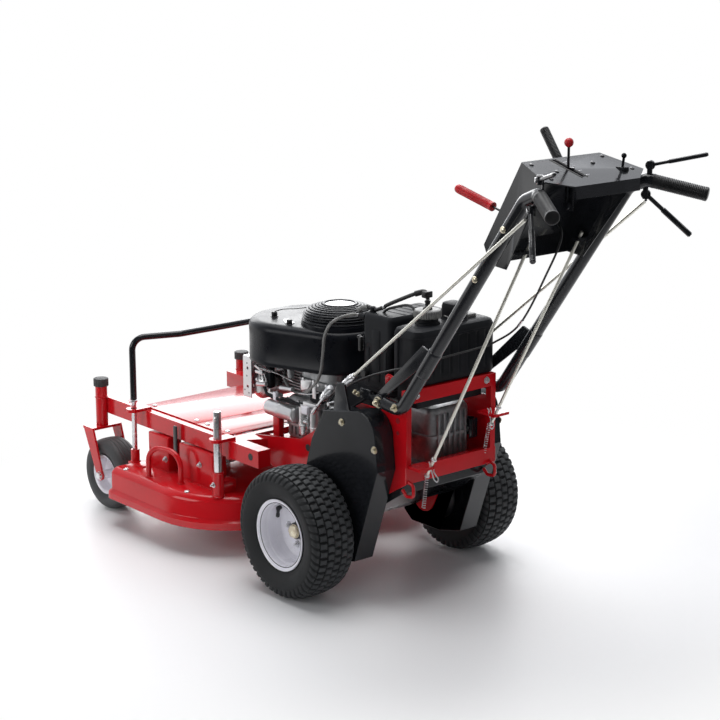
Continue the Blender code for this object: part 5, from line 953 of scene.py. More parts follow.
def recoil_cover():
    """The starter's louvred screen: rings (r, z) stepping up its wall and in over its shoulder, each an
    oval 6.4 by 2.4 mm whose long way leans by t, r + 3.2 cos a cos t - 1.2 sin a sin t. Upright ribs
    join them round a dark inner shell, and a bright flat plate lies in the top rim."""
    rows = np.array([(0.0944, 0.6362), (0.0938, 0.6426), (0.0922, 0.6488), (0.0892, 0.6545),
                     (0.0840, 0.6592), (0.0760, 0.6632), (0.0675, 0.6662), (0.0590, 0.6686),
                     (0.0512, 0.6706)])
    leans = np.radians([-38, -36, -33, -28, -21, -16, -12, -10, -8])
    a = np.arange(12) * TURN / 12
    skirt = filleted([(0.0900, 0.0), (0.0980, 0.0), (0.0980, 0.0034), (0.0965, 0.0044), (0.0900, 0.0034)],
                     0.0008, 2)
    shapes = [lathe(skirt, (0, ENGINE_Y, RECOIL_SEAT + 0.0003), (0, 0, 1), 120, ring=True)]
    for (r, z), t in zip(rows, leans):
        section = np.column_stack([r + 0.0032 * np.cos(a) * math.cos(t) - 0.0012 * np.sin(a) * math.sin(t),
                                   z + 0.0032 * np.cos(a) * math.sin(t) + 0.0012 * np.sin(a) * math.cos(t)])
        shapes.append(lathe(section, (0, ENGINE_Y, 0), (0, 0, 1), 120, ring=True))
    rim = filleted([(0.0392, 0.6712), (0.0452, 0.6702), (0.0460, 0.6722), (0.0444, 0.6742),
                    (0.0404, 0.6744), (0.0392, 0.6737)], 0.0006, 2)
    shapes.append(lathe(rim, (0, ENGINE_Y, 0), (0, 0, 1), 120, ring=True))
    run = smooth_curve(np.vstack([rows, [(0.0440, 0.6714)]]), 40)
    for angle in (np.arange(14) + 0.3) * TURN / 14:
        path = np.column_stack([(run[:, 0] - 0.0034) * math.cos(angle),
                                ENGINE_Y + (run[:, 0] - 0.0034) * math.sin(angle), run[:, 1] - 0.0013])
        shapes.append(tube(path, 0.0015, 8))
    put("recoil_screen", "chassis", HOUSING, shapes, ["recoil_cover"], 40)
    inner = filleted([(0, 0.6304), (0.0868, 0.6304), (0.0856, 0.6420), (0.0820, 0.6508), (0.0740, 0.6562),
                      (0.0600, 0.6608), (0.0460, 0.6640), (0.0, 0.6660)], 0.0060, 5)
    put("recoil_inner_shell", "chassis", PLASTIC, [lathe(inner, (0, ENGINE_Y, 0), (0, 0, 1), 96)])
    plate = filleted([(0, 0.6690), (0.0388, 0.6690), (0.0388, 0.6716), (0.0320, 0.6720), (0.0300, 0.6726),
                      (0.0, 0.6728)], 0.0006, 2)
    put("recoil_top_plate", "chassis", GUARD, [lathe(plate, (0, ENGINE_Y, 0), (0, 0, 1), 96)])
    drum = [lathe([(0, 0.012), (0.060, 0.012), (0.083, 0.001), (0.083, 0), (0, 0)], (0, ENGINE_Y, 0.5925),
                  (0, 0, 1), 72)]
    put("starter_drum", "crankshaft", DARK_STEEL, drum)


def block_fins(x0, x1, y0, y1, zs, thick=0.0028):
    return [box((x0, y0, z), (x1, y1, z + thick), 0.0006) for z in zs]


def engine_block():
    case = loft(rectangle((-0.105, 0.075), (0.105, 0.262), 0.018, 6),
                [(0.004, 0.3205), (0.001, 0.324), (0, 0.328), (0, 0.352), (-0.004, 0.354), (-0.004, 0.362),
                 (0, 0.364), (0, 0.418), (0.003, 0.424), (0.010, 0.430)])
    upper = loft(rectangle((-0.080, 0.090), (0.080, 0.245), 0.030, 8),
                 [(0, 0.428), (0, 0.470), (-0.006, 0.472), (-0.006, 0.480), (0, 0.482), (0, 0.568)])
    shapes = [case, upper, box((-0.045, 0.235, 0.420), (0.045, 0.331, 0.508), 0.003)]
    shapes += block_fins(-0.060, 0.060, 0.238, 0.3362, np.arange(0.4255, 0.5060, 0.0078))
    for y in np.arange(0.090, 0.250, 0.016):
        shapes.append(box((-0.1095, y, 0.330), (-0.1035, y + 0.0038, 0.417), 0.0010))
        shapes.append(box((0.1035, y, 0.330), (0.1095, y + 0.0038, 0.417), 0.0010))
    for x in np.arange(-0.090, 0.095, 0.020):
        shapes.append(box((x, 0.2595, 0.330), (x + 0.004, 0.2660, 0.417), 0.0010))
        shapes.append(box((x, 0.0710, 0.330), (x + 0.004, 0.0775, 0.417), 0.0010))
    shapes.append(box((-0.1160, 0.180, 0.513), (0.1160, 0.210, 0.528), 0.0015))
    put("engine_block_casting", "chassis", ALLOY, shapes, ["crankcase"])
    head = [box((-0.050, 0.3240, 0.4300), (0.050, 0.3358, 0.5060), 0.003, "Y", 0.010)]
    put("cylinder_head_cover", "chassis", DARK_STEEL, head)
    boot = filleted([(0, 0), (0.0072, 0), (0.0072, 0.010), (0.0052, 0.013), (0.0052, 0.024), (0, 0.024)],
                    0.0008, 2)
    put("spark_plug_boot", "chassis", GRIP, [lathe(boot, (-0.054, 0.3215, 0.4895), (-0.62, -0.63, -0.46),
                                                   24)])
    screws = []
    for x in (-0.090, 0.0, 0.090):
        screws.append(hexagon((x, 0.2655, 0.357), (0, 1, 0), 0.0050, 0.0050))
    for y in (0.10, 0.15, 0.20, 0.245):
        screws.append(hexagon((-0.1085, y, 0.4235), (-1, 0, 0), 0.0048, 0.0050))
        screws.append(hexagon((0.1085, y, 0.4235), (1, 0, 0), 0.0048, 0.0050))
    put("engine_block_screws", "chassis", WHITE_ZINC, screws)
    shaft = [bar((0, ENGINE_Y, 0.262), (0, ENGINE_Y, 0.604), 0.0125, 32)]
    pulley = [(0.010, 0.0), (0.044, 0.0), (0.045, 0.001), (0.045, 0.003), (0.035, 0.0095), (0.045, 0.016),
              (0.045, 0.019), (0.035, 0.0255), (0.045, 0.031), (0.045, 0.033), (0.044, 0.034),
              (0.010, 0.034)]
    shaft.append(lathe(filleted(pulley, 0.0006, 2), (0, ENGINE_Y, 0.266), (0, 0, 1), 72, ring=True))
    shaft.append(lathe([(0, 0), (0.0695, 0), (0.070, 0.0005), (0.070, 0.0255), (0.0695, 0.026), (0, 0.026)],
                       (0, ENGINE_Y, 0.572), (0, 0, 1), 72))
    put("crankshaft_and_pulleys", "crankshaft", STEEL, shaft, ["crankshaft"])


def exhaust():
    y, z, r, end = MUFFLER_Y, MUFFLER_Z, 0.035, 0.112
    half = [(0, end), (0.0180, end - 0.0005), (0.0300, end - 0.0060), (r, end - 0.0130), (r, 0.0030),
            (r + 0.0008, 0.0018)]
    can = filleted(half + [(across, -along) for across, along in half[::-1]], 0.003, 4)
    shapes = [lathe(can, (0, y, z), (1, 0, 0), 64),
              bar((0.02, y, z), (0.02, y - 0.026, z + 0.030), 0.0100, 28),
              box((0.0, y - r - 0.0032, z + 0.012), (0.040, y - 0.0205, z + 0.046), 0.0018, "Y")]
    put("muffler_can", "chassis", STEEL, shapes, ["muffler"])
    obj = eased("muffler_guard", "chassis", GUARD, 0.0009)
    obj.name = "muffler_guard_plate"
    # Dark discs on the guard's perforations and on its side holes: painted shade where the holes are.
    marks = []
    for yy, zz in ((0.4060, 0.4886), (0.4073, 0.4537), (0.4165, 0.4146), (0.3990, 0.4085)):
        marks.append(washer((-0.1208, yy, zz), (-1, 0, 0), 0.0026, 0.0004))
    for x in np.arange(-0.100, 0.100, 0.020):
        for zz in (0.420, 0.440, 0.460, 0.480):
            marks.append(lathe([(0, 0.0003), (0.0056, 0.0003), (0.0060, 0), (0, 0)], (x, GUARD_FRONT, zz),
                               (0, 1, 0), 20))
    put("muffler_guard_hole_shade", "chassis", DARK_STEEL, marks)


def oil_filter():
    """Can lying fore and aft, its shell rolled over a raised band, pinched into 15 flutes at its rear end."""
    can = filleted([(0, 0.120), (0.0150, 0.120), (0.0190, 0.1170), (0.0210, 0.1120), (0.0210, 0.0680),
                    (0.0215, 0.0672), (0.0215, 0.0610), (0.0210, 0.0602), (0.0210, 0.0040), (0.0185, 0),
                    (0, 0)], 0.0012, 4)

    def flutes(p, t):
        fluted = (p[:, 1:] > 0.004) & (p[:, 1:] < 0.024)
        return 0.0004 * np.cos(15 * t)[None] * fluted * (p[:, :1] > 0.02)

    x, y, z = FILTER
    neck = bar((-FILTER_SEAT_X, y + 0.030, z), (x, y + 0.030, z), 0.0120, 28)
    shapes = [lathe(can, FILTER, (0, 1, 0), 90, wave=flutes), neck]
    put("oil_filter_can", "chassis", GUARD, shapes, ["oil_filter"])


def side_fittings():
    """What hangs under the housing on the near side: the grey cup, the oil filter's foot, the two
    carburettor pots, the finned regulator, the governor linkage and the wiring."""
    cup = filleted([(0, 0.0), (0.0050, 0.0), (0.0078, 0.003), (0.0092, 0.0250), (0, 0.0250)], 0.002, 4)
    put("grey_cooling_cup", "chassis", ALLOY, [lathe(cup, (-0.1190, 0.2215, 0.4830), (0, 0, 1), 32)])
    foot = [box((-0.128, 0.262, 0.3155), (-0.110, 0.288, 0.374), 0.0018),
            box((-0.132, 0.256, 0.3155), (-0.106, 0.300, 0.3195), 0.0012)]
    put("filter_foot", "chassis", RED, foot)
    pots = []
    for y, r, high in ((0.1560, 0.0170, 0.4300), (0.1150, 0.0150, 0.4260)):
        pot = filleted([(0, 0.3480), (r - 0.004, 0.3480), (r, 0.3520), (r, 0.3720), (r + 0.0012, 0.3730),
                        (r + 0.0012, 0.3770), (r, 0.3780), (r, high - 0.004), (r - 0.003, high), (0, high)],
                       0.0012, 3)
        pots.append(lathe(pot, (-0.1240, y, 0), (0, 0, 1), 48))
    pots += [box((-0.1380, 0.096, 0.4260), (-0.1090, 0.150, 0.4400), 0.0018),
             bar((-0.1390, 0.128, 0.388), (-0.1390, 0.142, 0.388), 0.0050, 16)]
    put("carburettor_pots", "chassis", GUARD, pots)
    fins = []
    for y in np.arange(0.0560, 0.0900, 0.0095):
        fins.append(box((-0.1240, y, 0.336), (-0.1050, y + 0.0032, 0.416), 0.0007))
    put("finned_regulator", "chassis", ALLOY, fins)
    tab = np.array([(0.1274, 0.4965), (0.1439, 0.4710), (0.1724, 0.4630), (0.1721, 0.4890)])
    bright = [slab(rounded(tab, 0.003, 3), -0.1262, -0.1240, "X", 0.0006),
              bar((-0.1240, 0.2070, 0.4570), (-0.1240, 0.2590, 0.4515), 0.0062, 24),
              box((-0.128, 0.262, 0.4250), (-0.112, 0.310, 0.4330), 0.0012),
              box((-0.1290, 0.108, 0.452), (-0.1270, 0.122, 0.492), 0.0007, "X"),
              box((-0.1240, 0.3360, 0.4700), (-0.1130, 0.3680, 0.4780), 0.0010),
              bar((-0.118, 0.340, 0.478), (-0.118, 0.372, 0.488), 0.0045, 18),
              bar((-0.1190, 0.3250, 0.4460), (-0.1190, 0.3640, 0.4400), 0.0055, 18)]
    for y, z in ((0.160, 0.4950), (0.119, 0.4955), (0.068, 0.4940), (0.099, 0.4900), (0.300, 0.437),
                 (0.270, 0.437), (0.355, 0.455)):
        bright += [hexagon((-0.1250, y, z), (-1, 0, 0), 0.0045, 0.0040)]
    put("linkage_and_brackets", "chassis", GUARD, bright)
    wires = []
    turns = np.linspace(0, 16 * TURN, 260)
    wires.append(tube(np.column_stack([-0.122 + 0.0036 * np.cos(turns), 0.300 + 0.050 * turns / turns[-1],
                                       0.486 + 0.0036 * np.sin(turns)]), 0.0006, 6))
    wires.append(tube(smooth_curve([(-0.122, 0.300, 0.486), (-0.124, 0.265, 0.486), (-0.125, 0.205, 0.478)],
                                   20), 0.0011, 8))
    wires.append(tube(smooth_curve([(-0.126, 0.100, 0.470), (-0.127, 0.140, 0.458), (-0.126, 0.180, 0.452)],
                                   30), 0.0014, 8))
    for y in (0.325, 0.337, 0.349):
        wires.append(bar((-0.118, y, 0.452), (-0.118, y + 0.010, 0.474), 0.0022, 12))
    put("governor_spring_and_links", "chassis", WHITE_ZINC, wires)
    dark = [box((-0.114, 0.316, 0.436), (-0.096, 0.336, 0.500), 0.0030),
            box((-0.124, 0.095, 0.4402), (-0.104, 0.140, 0.466), 0.0030),
            tube(smooth_curve([(-0.118, 0.336, 0.438), (-0.130, 0.300, 0.424), (-0.134, 0.230, 0.424),
                               (-0.130, 0.150, 0.430), (-0.120, 0.100, 0.444)], 60), 0.0042, 14),
            tube(smooth_curve([(-0.130, 0.110, 0.400), (-0.140, 0.170, 0.430), (-0.142, 0.225, 0.434),
                               (-0.128, 0.260, 0.420)], 50), 0.0030, 12),
            tube(smooth_curve([(-0.110, 0.060, 0.470), (-0.150, 0.040, 0.440), (-0.160, 0.000, 0.440),
                               (-0.150, -0.060, 0.470), (-0.110, -0.095, 0.506)], 60), 0.0032, 12)]
    put("wiring_and_dark_fittings", "chassis", PLASTIC, dark)
    plugs = [box((-0.1500, 0.118, 0.412), (-0.1400, 0.142, 0.432), 0.0012),
             box((-0.138, 0.262, 0.418), (-0.128, 0.274, 0.440), 0.0010)]
    put("white_connectors", "chassis", WHITE, plugs)


def air_box():
    """Filter case with a lid seam and shallow ribs, its step and foot, the boot for the lead and the hose
    elbow, whose dome is 8 mm sqrt(1 - (h / 5.8 mm)^2) round."""
    body = loft(rectangle((-0.095, -0.137), (0.095, -0.033), 0.014, 8),
                [(0.004, 0.5125), (0.0008, 0.5145), (0, 0.518), (0, 0.6200), (-0.0008, 0.6215),
                 (-0.0008, 0.6260), (0, 0.6275), (0, 0.684), (0.0028, 0.6915), (0.008, 0.6960)])
    shapes = [body, box((-0.060, -0.028, 0.3205), (0.060, 0.0740, 0.490), 0.006),
              box((-0.060, -0.110, 0.487), (0.060, 0.0295, 0.5138), 0.003)]
    for x in np.arange(-0.040, 0.080, 0.026):
        shapes.append(box((x, -0.126, 0.6950), (x + 0.010, -0.048, 0.6968), 0.0006, corner=0.004))
    shapes.append(box((-0.0964, -0.100, 0.530), (-0.0940, -0.070, 0.660), 0.0010, "X", 0.004))
    for y in (-0.124, -0.060):
        shapes.append(box((-0.0961, y, 0.524), (-0.0940, y + 0.010, 0.612), 0.0009, "X", 0.003))
    for x in (-0.060, -0.020, 0.020, 0.060):
        shapes.append(box((x, -0.0338, 0.560), (x + 0.008, -0.0318, 0.612), 0.0009, "Y", 0.003))
    shapes.append(lathe(filleted([(0, 0), (0.0080, 0), (0.0080, 0.022), (0.0066, 0.0245), (0, 0.0245)],
                                 0.0012, 3), (-0.085, -0.0365, 0.683), (0, 1, 0), 32))
    a = np.linspace(0, math.pi / 2, 8)
    dome = np.column_stack([0.0080 * np.cos(a), 0.0115 + 0.0058 * np.sin(a)])
    shapes.append(lathe(np.vstack([[(0, -0.003), (0.0100, -0.003), (0.0100, 0.0015), (0.0080, 0.0025)],
                                   dome]), (-0.070, -0.0455, 0.6925), (0, 0, 1), 32))
    put("air_box_moulding", "chassis", PLASTIC, shapes, ["air_box"])
    clip = [box((-0.1005, -0.0330, 0.598), (-0.0900, -0.0225, 0.634), 0.0016),
            box((-0.1005, -0.0240, 0.629), (-0.0880, -0.0180, 0.636), 0.0012)]
    knob = lathe([(0, 0.012), (0.0085, 0.012), (0.0105, 0.010), (0.0105, 0), (0, 0)],
                 (-0.0945, -0.048, 0.545), (-1, 0, 0), 60,
                 wave=lambda p, t: 0.0007 * np.cos(10 * t)[None] * (p[:, :1] > 0.009))
    put("air_box_clip_and_knob", "chassis", GRIP, clip + [knob])


def fuel_tank():
    """The tank's wall is one outline pushed in by d: 4 mm in the channel down its left end, where
    |y + 0.190| < 10 mm, and 1.4 mm in the flutes across its back, where cos(pi x / 14.5 mm) > 0.53."""
    outline = even(rectangle((-0.109, -0.2505), (0.155, -0.153), 0.026, 12), 600)
    x, y = outline.T
    channel = (x < -0.105) * np.clip((0.0105 - np.abs(y + 0.190)) / 0.0015, 0, 1)
    waves = np.clip(np.cos(x / 0.0145 * math.pi) * 3 - 1.6, 0, 1)
    flutes = (y < -0.2480) * (np.abs(x - 0.023) < 0.104) * waves
    levels = [(0.010, 0.5476, 0), (0.002, 0.5505, 0), (0, 0.5565, 0), (0, 0.570, 0), (0, 0.5755, 1),
              (0, 0.6550, 1), (0, 0.6605, 0), (-0.0008, 0.6615, 0), (-0.0008, 0.6655, 0), (0, 0.6665, 0),
              (0, 0.671, 0), (0.005, 0.681, 0), (0.014, 0.685, 0)]
    ahead = unit(np.roll(outline, -1, 0) - np.roll(outline, 1, 0))
    inward = np.column_stack([-ahead[:, 1], ahead[:, 0]])
    rings = []
    for amount, height, deep in levels:
        spot = inset(outline, amount) + inward * (deep * (0.0040 * channel + 0.0014 * flutes))[:, None]
        rings.append(np.column_stack([spot, np.full(len(outline), height)]))
    shapes = [grid(np.stack(rings))]
    neck = filleted([(0, -0.003), (0.0320, -0.003), (0.0300, 0.003), (0.0260, 0.006), (0.0260, 0.0148),
                     (0, 0.0148)], 0.002, 3)
    shapes.append(lathe(neck, (*NECK, 0.685), (0, 0, 1), 56))
    shapes.append(loft(rectangle((0.034, -0.230), (0.082, -0.170), 0.016, 6),
                       [(-0.004, 0.683), (-0.001, 0.688), (0, 0.692), (0, 0.718), (0.0025, 0.7255),
                        (0.008, 0.728)]))
    shapes.append(box((-0.095, -0.236, 0.4907), (0.120, -0.162, 0.552), 0.004))
    put("fuel_tank_moulding", "chassis", PLASTIC, shapes, ["fuel_tank"], 38)
    wave = lambda p, t: np.where((p[:, :1] > 0.0325) & (p[:, 1:] < 0.0165),
                                 0.0009 * np.cos(36 * t)[None] - 0.0004, 0.0)
    cap = filleted([(0, 0.0198), (0.0130, 0.0200), (0.0275, 0.0200), (0.0325, 0.0185), (0.0338, 0.0160),
                    (0.0338, 0.0020), (0.0320, 0), (0, 0)], 0.0012, 3)
    put("fuel_cap_knurled", "fuel_cap", GREYED, [lathe(cap, (*NECK, 0.7003), (0, 0, 1), 216, wave=wave)],
        ["fuel_cap"], 50)
    stem = filleted([(0, 0.0185), (0.0125, 0.0185), (0.0110, 0.0240), (0.0060, 0.0275), (0.0060, 0.0350),
                     (0.0075, 0.0370), (0.0075, 0.0410), (0, 0.0415)], 0.0010, 3)
    put("fuel_cap_nipple", "fuel_cap", GRIP, [lathe(stem, (*NECK, 0.7003), (0, 0, 1), 32)])
    tether = smooth_curve([(0.012, -0.212, 0.7020), (0.016, -0.222, 0.6980), (0.010, -0.232, 0.6880),
                           (-0.006, -0.236, 0.6862)], 30)
    put("fuel_cap_tether", "chassis", GREYED, [tube(tether, 0.0016, 10),
                                               box((0.082, -0.214, 0.684), (0.118, -0.188, 0.694), 0.0020)])


# Handle

def handle_bracket(name, side):
    """The tube's nose over its front bolt, the brace band and saddle, and the straps that carry the
    levers: each strap is the run from start to end made 12 mm wide and 4 mm thick."""
    x = side * TUBE_X
    nose = filleted([(0, -0.0110), (0.0185, -0.0110), (0.0185, 0.0110), (0, 0.0110)], 0.0012, 3)
    shapes = [lathe(nose, (x, -0.186, 0.513), (1, 0, 0), 40)]
    band = [(-0.345, 0.640), (-0.180, 0.512), (-0.172, 0.532), (-0.330, 0.676), (-0.352, 0.668)]
    shapes.append(slab(rounded(band, 0.004, 3), x - 0.0025, x + 0.0025, "X", 0.0009))
    s = np.linspace(0, 1, 24)[:, None]
    foot, head = np.array([x, -0.3290, 0.6055]), np.array([x, -0.3760, 0.6709])
    swell = np.interp(s[:, 0], [0, 0.03, 0.97, 1], [0.0160, 0.0173, 0.0173, 0.0160])
    shapes.append(tube(foot + s * (head - foot), swell, 40))
    across = unit([-0.114, -side * 0.074, 0.0]) * side
    for pivot, rise in ((PRESENCE_PIVOT, -0.0325), (DRIVE_PIVOT, 0.034)):
        start = sided(side, pivot) + across * 0.0077
        low, high = sorted((start[2] + (-0.010 if rise > 0 else 0.010), start[2] + rise))
        along = np.array([-across[1], across[0], 0.0])
        corners = [(-0.006, -0.002), (-0.006, 0.002), (0.006, 0.002), (0.006, -0.002)]
        plan = np.array([start[:2] + c * along[:2] + t * across[:2] for c, t in corners])
        shapes.append(slab(rounded(plan, 0.0008, 2), low, high, "Z", 0.0005))
    put(f"handle_brackets_{name}", "chassis", BLACK, shapes)


def handle():
    for name, side in SIDES:
        x = side * TUBE_X
        base, end = sided(side, GRIP_BASE), sided(side, GRIP_END)
        along = unit(end - base)
        path = [(x, -0.178, 0.514), (x, -0.256, 0.504), (x, -0.650, 1.052), base, base + along * 0.012]
        put(f"handle_bar_{name}", "chassis", BLACK, [tube(filleted(path, 0.045, 12), TUBE_R, 40)],
            [f"handle_tube_{name}"])
        handle_bracket(name, side)
        start = base + along * 0.0123
        length = np.linalg.norm(end - start)
        s = np.linspace(0, 1, 200)
        ribs = 0.00045 * np.sin(s * length / 0.0040 * TURN) * ((s > 0.10) & (s < 0.93))
        swell = 0.0158 + ribs + 0.0006 * np.exp(-((s / 0.03) ** 2)) + 0.0002 * (s > 0.93)
        close = np.sqrt(np.clip(1 - ((s - 0.965) / 0.035) ** 2, 0, 1))
        swell = np.where(s > 0.965, swell * (0.35 + 0.65 * close), swell)
        profile = np.vstack([[(0, 0)], np.column_stack([np.minimum(swell, 0.01648), s * length]),
                             [(0, length)]])
        put(f"hand_grip_{name}", "chassis", GRIP, [lathe(profile, start, along, 48)],
            [f"handle_grip_{name}"], 45)
        hand_levers(name, side)
        out = (side, 0, 0)
        fixings = bolt((x + side * 0.0110, -0.186, 0.513), out, 0.0098,
                       0.006) + bolt((x + side * 0.0155, -0.2500, 0.5130), out, 0.0070, 0.005)
        fixings += [dome_head((x + side * 0.0155, -0.515, 0.862), out, 0.0080),
                    dome_head((x + side * 0.0155, -0.600, 0.984), out, 0.0080)]
        put(f"handle_bolts_{name}", "chassis", BRASS, fixings)
        shelf = [box((side * 0.151, -0.172, 0.505), (side * 0.160, -0.082, 0.521), 0.0012),
                 box((side * 0.149, -0.140, 0.5205), (side * 0.161, -0.102, 0.530), 0.0015)]
        put(f"handle_foot_bar_{name}", "chassis", BLACK, shelf)
        ends = []
        for y, z in ((-0.083, 0.5150), (-0.095, 0.5125)):
            ends += bolt((side * 0.160, y, z), out, 0.0046, 0.003)
        put(f"foot_bar_bolts_{name}", "chassis", BRASS, ends)


def pivot_disc(at, way):
    profile = [(0, 0.0054), (0.0100, 0.0054), (0.0110, 0.0044), (0.0110, -0.0044),
               (0.0100, -0.0054), (0, -0.0054)]
    return lathe(filleted(profile, 0.0008, 2), at, way, 36)


def hand_levers(name, side):
    """The thin upper lever and the lower drive lever, each a round bar flattened into its pivot disc."""
    grip_way = sided(side, GRIP_END) - sided(side, GRIP_BASE)
    across = unit([grip_way[1], -grip_way[0], 0.0])
    pivot, tip = sided(side, PRESENCE_PIVOT), sided(side, PRESENCE_TIP)
    s = np.linspace(0, 1, 60)[:, None]
    path = pivot + s * (tip - pivot)
    thick = np.interp(s[:, 0], [0, 0.08, 0.30, 0.34, 0.97, 1.0],
                      [0.0042, 0.0040, 0.0038, 0.0050, 0.0050, 0.0030])
    disc = pivot_disc(pivot, across)
    put(f"presence_bar_{name}", f"presence_lever_{name}", BLACK, [tube(path, thick, 20), disc],
        [f"presence_lever_{name}"])
    put(f"presence_pivot_bolt_{name}", f"presence_lever_{name}", WHITE_ZINC,
        [hexagon(pivot - across * side * 0.0050, -across * side, 0.0062, 0.0045)])
    pivot2, tip2 = sided(side, DRIVE_PIVOT), sided(side, DRIVE_TIP)
    reach = np.linalg.norm(tip2 - pivot2)
    share = 0.085 / reach
    s = np.linspace(0, 1, 120)
    thick = np.where(s < 1 - share, 0.0050, 0.0066 + 0.00035 * np.sin(s * reach / 0.0035 * TURN))
    thick = np.where(s > 0.985, 0.0052, thick)
    arm, low = sided(side, DRIVE_ROD_TOP), sided(side, DRIVE_ROD_LOW)
    crank_end = arm + unit(arm - low) * 0.0045
    disc2 = pivot_disc(pivot2, across)
    put(f"drive_lever_bar_{name}", f"drive_lever_{name}", BLACK,
        [tube(pivot2 + s[:, None] * (tip2 - pivot2), thick, 20), disc2, bar(pivot2, crank_end, 0.0030, 14)],
        [f"drive_lever_{name}"])
    put(f"drive_pivot_bolt_{name}", f"drive_lever_{name}", WHITE_ZINC,
        [hexagon(pivot2 - across * side * 0.0050, -across * side, 0.0062, 0.0045)])


def clevis(at, way, side_way, size=1.0):
    """A folded clevis with its cross pin: two cheeks, a bridge and a threaded collar."""
    at, way, across = np.asarray(at, float), unit(way), unit(side_way)
    other = np.cross(way, across)
    shapes = []
    for sign in (-1, 1):
        start = at + across * sign * 0.0058 * size
        shapes.append(tube(start + np.linspace(-0.008, 0.018, 8)[:, None] * size * way, 0.0024 * size, 4))
    shapes.append(bar(at + way * 0.016 * size, at + way * 0.040 * size, 0.0058 * size, 6))
    shapes.append(bar(at - across * 0.0095 * size, at + across * 0.0095 * size, 0.0028 * size, 14))
    shapes.append(tube(at + other * 0.001 + np.linspace(-1, 1,
                                                        6)[:, None] * across * 0.0060 * size
                       + way * 0.017 * size, 0.0026 * size, 6))
    return shapes


def barrel(at, way, length=0.047, radius=0.0092):
    """A turned adjusting barrel: its foot carries two grooves, its top a chamfer."""
    section = np.array([(0, 0), (0.60, 0), (0.92, 0.035), (1, 0.12), (1, 0.26), (0.82, 0.275),
                        (0.82, 0.300), (1, 0.315), (1, 0.43), (0.84, 0.445), (0.84, 0.470), (1, 0.485),
                        (1, 0.90), (0.76, 0.985), (0, 1)])
    return lathe(section * [radius, length], at, way, 28)


def control_rods():
    for name, side in SIDES:
        low, top = sided(side, DRIVE_ROD_LOW), sided(side, DRIVE_ROD_TOP)
        way = unit(top - low)
        body = f"drive_rod_{name}"
        s = np.linspace(0, 1, 220)
        length = np.linalg.norm(top - low)
        thread = (s * length < 0.085)
        thick = 0.0039 + 0.00025 * thread * np.sin(s * length / 0.0016 * TURN)
        put(f"drive_rod_wire_{name}", body, ZINC, [tube(low + s[:, None] * (top - low), thick, 16)], [body])
        collars = [barrel(low + way * 0.001, way), hexagon(low + way * 0.050, way, 0.0072, 0.0050)]
        collars += clevis(low - way * 0.002, -way, (1, 0, 0), 0.75)
        put(f"drive_rod_swivel_{name}", body, WHITE_ZINC, collars)
        top, foot = np.array([side * 0.190, -0.0290, 0.5230]), np.array([side * 0.190, 0.0060, 0.4840])
        adjuster = [barrel(foot, top - foot, 0.050, 0.0095),
                    bar(foot + (top - foot) * 0.2, foot - (top - foot) * 0.9, 0.0038, 14),
                    bar((side * 0.150, -0.0220, 0.4780), (side * 0.196, -0.0220, 0.4780), 0.0050, 20)]
        adjuster += clevis(foot - (top - foot) * 0.55, foot - top, (1, 0, 0), 0.8)
        put(f"idler_adjuster_{name}", "chassis", WHITE_ZINC, adjuster)
    for name, x, low, top in (("brake_rod", -CROSS_ROD_X, (-0.276, 0.334), (-0.603, 0.943)),
                              ("blade_rod", CROSS_ROD_X, (-0.2885, 0.430), (-0.572, 0.945))):
        low, top = np.array([x, *low]), np.array([x, *top])
        way = unit(top - low)
        put(f"{name}_wire", name, ZINC, [tube(low + np.linspace(0, 1, 24)[:, None] * (top - low), 0.0039,
                                              16)], [name])
        ends = [hexagon(low + way * 0.052, way, 0.0070, 0.0065),
                hexagon(low + way * 0.0005, way, 0.0070, 0.0065)]
        put(f"{name}_nuts", name, WHITE_ZINC, ends)
    clips = [hairpin((-CROSS_ROD_X, -0.290, 0.362), (0.1, -0.3, -1), (1, 0, 0), 1.1),
             hairpin((CROSS_ROD_X, -0.290, 0.460), (0.1, -0.2, -1), (-1, 0, 0), 1.1)]
    springs = []
    for x, start, end in ((-0.085, (-0.262, 0.330), (-0.250, 0.245)),
                          (0.115, (-0.268, 0.425), (-0.250, 0.340))):
        turns = np.linspace(0, 14 * TURN, 240)
        share = turns / turns[-1]
        line = np.array([x, *start]) + share[:, None] * (np.array([x, *end]) - np.array([x, *start]))
        springs.append(tube(line + np.column_stack([0.0042 * np.cos(turns), 0.0042 * np.sin(turns),
                                                    0 * turns]), 0.0009, 6))
    put("rod_clips_and_springs", "chassis", WHITE_ZINC, clips + springs)


def console():
    obj = eased("console", "chassis", BLACK, 0.0012)
    obj.name = "console_sheet"
    shapes = []
    for x, y in ((-0.112, -0.615), (0.112, -0.615), (0.128, -0.690), (-0.128, -0.690), (0.055, -0.640),
                 (-0.080, -0.660)):
        z = 1.124 + (y + 0.597) / (-0.698 + 0.597) * (1.0953 - 1.124)
        shapes.append(dome_head((x, y, z + 0.0012), (0, -0.27, 0.96), 0.0055))
    put("console_screws", "chassis", BLACK, shapes)
    gate = []
    for sign in (-1, 1):
        gate.append(tube([(-0.034 + sign * 0.0085, -0.700, 1.0962),
                          (-0.034 + sign * 0.0085, -0.602, 1.1240)], 0.0012, 8))
    put("slot_edge_wear", "chassis", DARK_STEEL, gate)
    marks = []
    for y in (-0.690, -0.668, -0.645, -0.622):
        z = 1.124 + (y + 0.597) / (-0.101) * (-0.0287)
        marks.append(box((-0.020, y, z + 0.0006), (-0.008, y + 0.0035, z + 0.0018), 0.0003))
    put("gate_marks", "chassis", WHITE, marks)
    throttle = [box((0.092, -0.700, 1.092), (0.108, -0.672, 1.105), 0.0020),
                tube([(0.100, -0.686, 1.100), (0.100, -0.690, 1.128)], 0.0030, 12),
                ball((0.100, -0.690, 1.130), 0.0060, 20)]
    put("throttle_slide", "chassis", PLASTIC, throttle)


